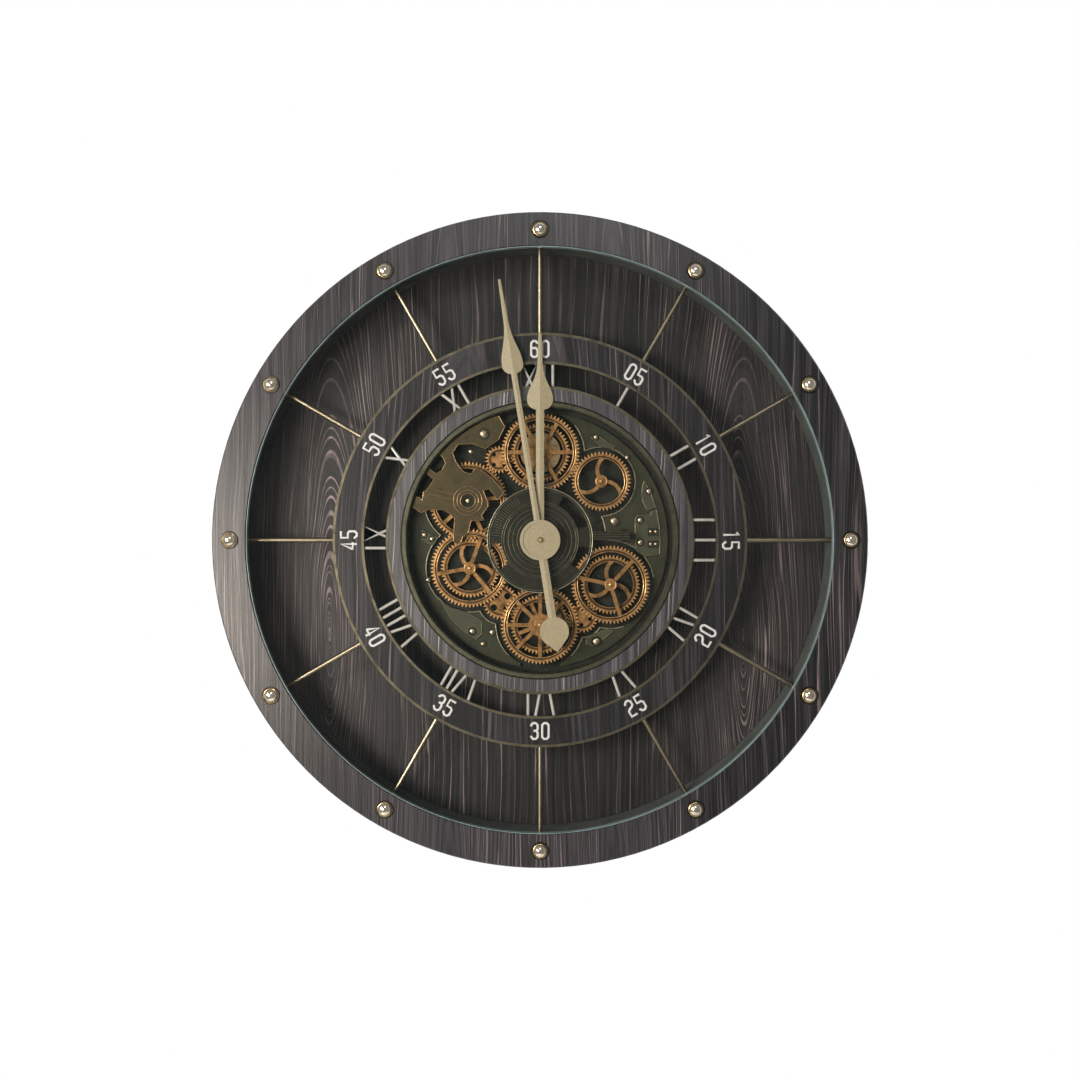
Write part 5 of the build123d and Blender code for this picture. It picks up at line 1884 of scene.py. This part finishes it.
@dataclass
class RearWorks:
    """What is seen from behind: screws, quartz movement, gear motor and battery box.

    Attributes:
        panel_screw: The screws that hold the panel to the drum.
        panel_circle: Radius of the circle that they stand on.
        arbor_radius: Radius of the arbors' ends.
        arbor_height: How far these stand out.
        knob_ring: Profile of the ring round the setting knob, as radius and distance from the movement.
        movement_screw: The screws of the movement.
        movement_turn: Angle that their crosses are turned by.
        movement_inset: Distance of these screws from the movement's sides and top.
        movement_low: Height of the lower ones from the axis.
        boss_radius: Radius of the motor's rear boss.
        boss_height: How far it stands out.
        motor_bead: Radius of the bead on the motor's back.
        motor_bead_size: Half of its thickness.
        terminal: Size of a terminal of the motor.
        terminal_offset: Distance of a terminal from the motor's middle, both across and up.
        ridges: Number of grip ridges on the battery lid.
        ridge: Half of the thickness of a ridge.
        ridge_start: Distance of the first ridge from the lid's top.
        ridge_step: Distance between two ridges.
        ridge_inset: Distance of the ridges' ends from the lid's sides.
    """

    panel_screw: Screw = Screw(4.0 * MM, 1.2 * MM, 2.48 * MM)
    panel_circle: float = 326.0 * MM
    arbor_radius: float = 3.0 * MM
    arbor_height: float = 0.8 * MM
    knob_ring: tuple[Point, ...] = (
        (9.0 * MM, 0.0),
        (11.0 * MM, 0.0),
        (10.6 * MM, 0.9 * MM),
        (9.4 * MM, 0.9 * MM),
    )
    movement_screw: Screw = Screw(2.2 * MM, 0.7 * MM, 1.4 * MM)
    movement_turn: float = 20.0
    movement_inset: float = 5.0 * MM
    movement_low: float = -4.0 * MM
    boss_radius: float = 6.0 * MM
    boss_height: float = 1.6 * MM
    motor_bead: float = 20.5 * MM
    motor_bead_size: float = 0.5 * MM
    terminal: Triple = (2.4 * MM, 3.0 * MM, 0.6 * MM)
    terminal_offset: float = 9.0 * MM
    ridges: int = 6
    ridge: float = 0.55 * MM
    ridge_start: float = 5.0 * MM
    ridge_step: float = 2.2 * MM
    ridge_inset: float = 6.0 * MM

    def build(self) -> None:
        """Builds the small parts at the rear and finishes the CAD pieces."""
        self.add_panel_screws()
        self.add_arbor_ends()
        self.add_movement_parts()
        self.add_motor_parts()
        self.add_lid_ridges()
        finish_nodes({
            "quartz_movement": BLACK_PLASTIC,
            "movement_nut": STEEL,
            "movement_cell": CELL_SLEEVE,
            "gear_motor": STEEL,
            "battery_box": BLACK_PLASTIC,
            "battery_lid": BLACK_PLASTIC,
            "battery_cells": CELL_SLEEVE,
            "power_switch": GRAY_PLASTIC,
        })

    def add_panel_screws(self) -> None:
        """Builds the screws that hold the panel, each halfway between two hours."""
        heads = bmesh.new()
        crosses = bmesh.new()
        depth = back_of("back_panel")
        for hour in range(HOURS):
            spot = dial_point(self.panel_circle, HOUR_ANGLE * (hour + 0.5), depth)
            self.panel_screw.add(heads, crosses, (spot.x, spot.z), depth, HOUR_ANGLE * hour)
        add_piece(heads, "panel_screws", STEEL)
        add_piece(crosses, "panel_screw_slots", BASE_BLACK)

    def add_arbor_ends(self) -> None:
        """Builds the riveted ends of the arbors; the bottom wheel is on the motor's shaft and has none."""
        mesh = bmesh.new()
        for node in (*WHEELS, *IDLERS):
            if node != "bottom_gear":
                add_head(mesh, center_of(node), back_of("base_plate"), self.arbor_radius, self.arbor_height)
        add_piece(mesh, "arbor_ends", STEEL)

    def add_movement_parts(self) -> None:
        """Builds the ring round the setting knob and the movement's screws."""
        low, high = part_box("quartz_movement")
        depth = back_of("quartz_movement")
        ring = bmesh.new()
        add_turned(ring, [(radius, depth - rise) for radius, rise in self.knob_ring], MIDDLE, steps=40)
        add_piece(ring, "movement_knob_ring", GRAY_PLASTIC)
        heads = bmesh.new()
        crosses = bmesh.new()
        for x in (low.x + self.movement_inset, high.x - self.movement_inset):
            for z in (self.movement_low, high.z - self.movement_inset):
                self.movement_screw.add(heads, crosses, (x, z), depth, self.movement_turn)
        add_piece(heads, "movement_screws", STEEL)
        add_piece(crosses, "movement_screw_slots", BASE_BLACK)

    def add_motor_parts(self) -> None:
        """Builds the motor's rear boss with a bead round it, and its two terminals."""
        center = center_of("gear_motor")
        depth = back_of("gear_motor")
        boss = bmesh.new()
        add_head(boss, center, depth, self.boss_radius, self.boss_height)
        add_bead(boss, self.motor_bead, depth, center, self.motor_bead_size, steps=48)
        add_piece(boss, "motor_boss", STEEL)
        terminals = bmesh.new()
        y = self.terminal[1] / 2 - depth
        z = center[1] + self.terminal_offset
        for x in (center[0] - self.terminal_offset, center[0] + self.terminal_offset):
            add_box(terminals, Matrix.Translation((x, y, z)), self.terminal)
        add_piece(terminals, "motor_terminals", BRASS)

    def add_lid_ridges(self) -> None:
        """Builds the grip ridges on the battery lid."""
        low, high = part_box("battery_lid")
        mesh = bmesh.new()
        sides = (low.x + self.ridge_inset, high.x - self.ridge_inset)
        for index in range(self.ridges):
            z = high.z - self.ridge_start - self.ridge_step * index
            start, end = (Vector((x, high.y, z)) for x in sides)
            add_bar(mesh, start, end, self.ridge)
        add_piece(mesh, "battery_lid_ridges", BLACK_PLASTIC, body=Body.LID)


@dataclass(frozen=True)
class Lamp:
    """A square lamp that points at the clock.

    Attributes:
        name: Its name.
        spot: Where it is.
        size: Length of its sides.
        power: Its power in watts.
        warmth: How far its light is from white towards amber, from 0 to 1.
        amber: How much green and blue the light of full warmth lacks.
    """

    name: str
    spot: Triple
    size: float
    power: float
    warmth: float = 0.0
    amber: Point = (0.3, 0.6)

    def build(self) -> None:
        """Adds the lamp to the scene."""
        green, blue = (1.0 - lack * self.warmth for lack in self.amber)
        data = bpy.data.lights.new(self.name, "AREA")
        data.color = (1.0, green, blue)
        data.size = self.size
        data.energy = self.power
        lamp = bpy.data.objects.new(self.name, data)
        lamp.location = self.spot
        lamp.rotation_euler = (-Vector(self.spot)).to_track_quat("-Z", "Y").to_euler()
        bpy.context.scene.collection.objects.link(lamp)


@dataclass
class Studio:
    """White studio: floor, lamps and camera.

    Attributes:
        lamps: The lamps.
        floor_drop: How far the floor is below the axis.
        floor_radius: Radius of the floor.
        floor_sides: Number of its sides.
        floor_fade: Parts of that radius between which the floor fades into the white round it.
        floor_glow: How white the floor's middle is to the camera, from 0 to 1.
        camera_distance: Distance of the camera from the wall.
        lens: Focal length of the camera in millimetres.
        sensor: Width of its sensor in millimetres.
        fill: Strength of the light from all round.
        front: Brightness of the room in front of the clock, as its polished pieces show it.
        room: Directions along Y between which that brightness rises to white.
    """

    lamps: tuple[Lamp, ...] = (
        Lamp("key_left", (-1.6, -1.8, 0.3), 0.7, 66.0, 0.15),
        Lamp("sheen_left", (-1.15, -2.3, -0.2), 0.6, 32.0, 0.4),
        Lamp("sheen_top", (0.1, -2.2, 1.2), 0.7, 8.0),
        Lamp("rear_fill", (2.2, 1.9, 1.5), 1.2, 70.0),
    )
    floor_drop: float = 1.15
    floor_radius: float = 1.2
    floor_sides: int = 96
    floor_fade: Point = (0.45, 0.96)
    floor_glow: float = 0.55
    camera_distance: float = 1.8883
    lens: float = 49.24
    sensor: float = 36.0
    fill: float = 0.24
    front: float = 0.3
    room: Point = (-0.35, 0.25)

    def build(self) -> None:
        """Builds the floor, the world, the lamps and the camera."""
        self.add_floor()
        self.add_world()
        for lamp in self.lamps:
            lamp.build()
        self.add_camera()

    def add_floor(self) -> None:
        """Adds the pale floor, which takes the clock's shadow and fades into the white round it."""
        mesh = bmesh.new()
        bmesh.ops.create_circle(mesh, cap_ends=True, segments=self.floor_sides, radius=self.floor_radius)
        data = bpy.data.meshes.new("floor")
        mesh.to_mesh(data)
        mesh.free()
        data.materials.append(self.floor_material())
        floor = bpy.data.objects.new("floor", data)
        floor.location = (0.0, 0.0, -self.floor_drop)
        bpy.context.scene.collection.objects.link(floor)

    def floor_material(self) -> bpy.types.Material:
        """Builds the floor's material, which glows white to the camera towards the floor's edge.

        Returns:
            The material.
        """
        made = FLOOR_WHITE.material()
        graph = Graph(made.node_tree)
        glow = graph.node("ShaderNodeEmission")
        glow.inputs["Color"].default_value = gray(1.0)
        reach = graph.node("ShaderNodeVectorMath", operation="LENGTH")
        graph.feed(reach.inputs[0], graph.place())
        start, end = (part * self.floor_radius for part in self.floor_fade)
        share = graph.span(reach.outputs["Value"], start, end, self.floor_glow, 1.0)
        camera_ray = graph.node("ShaderNodeLightPath").outputs["Is Camera Ray"]
        blend = graph.node("ShaderNodeMixShader")
        graph.feed(blend.inputs[0], graph.times(camera_ray, share))
        graph.feed(blend.inputs[1], made.node_tree.nodes["Principled BSDF"].outputs[0])
        graph.feed(blend.inputs[2], glow.outputs[0])
        graph.feed(made.node_tree.nodes["Material Output"].inputs["Surface"], blend.outputs[0])
        return made

    def add_world(self) -> None:
        """Makes the world white to the camera, dimmer in front of the clock and softer as a light."""
        world = bpy.data.worlds.new("studio")
        world.use_nodes = True
        graph = Graph(world.node_tree)
        path = graph.node("ShaderNodeLightPath").outputs
        direction = graph.parts(graph.node("ShaderNodeTexCoord").outputs["Generated"])
        seen = graph.span(direction["Y"], *self.room, self.front, 1.0)
        mirrored = graph.plus(path["Is Glossy Ray"], path["Is Transmission Ray"], clamp=True)
        level = graph.plus(graph.times(mirrored, graph.minus(seen, self.fill)), self.fill)
        level = graph.math("MAXIMUM", level, path["Is Camera Ray"])
        background = world.node_tree.nodes["Background"]
        background.inputs["Color"].default_value = gray(1.0)
        graph.feed(background.inputs["Strength"], level)
        bpy.context.scene.world = world

    def add_camera(self) -> None:
        """Adds the camera, straight in front of the clock."""
        data = bpy.data.cameras.new("front")
        data.lens = self.lens
        data.sensor_width = self.sensor
        camera = bpy.data.objects.new("front", data)
        camera.location = (0.0, -self.camera_distance, 0.0)
        camera.rotation_euler = (math.pi / 2, 0.0, 0.0)
        bpy.context.scene.collection.objects.link(camera)
        bpy.context.scene.camera = camera
        bpy.context.scene.view_settings.view_transform = "Standard"


def main() -> None:
    """Builds the scene."""
    logging.basicConfig(level=logging.INFO, format="%(message)s")
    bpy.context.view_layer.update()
    works = (GearTrain(), CoverPlates(), Spider(), Bridge(), Hands(), RearWorks())
    for assembly in (Case(), Dial(), MinuteFigures(), *works, Studio()):
        assembly.build()
        LOG.info("built %s", type(assembly).__name__)


if __name__ == "__main__":
    main()
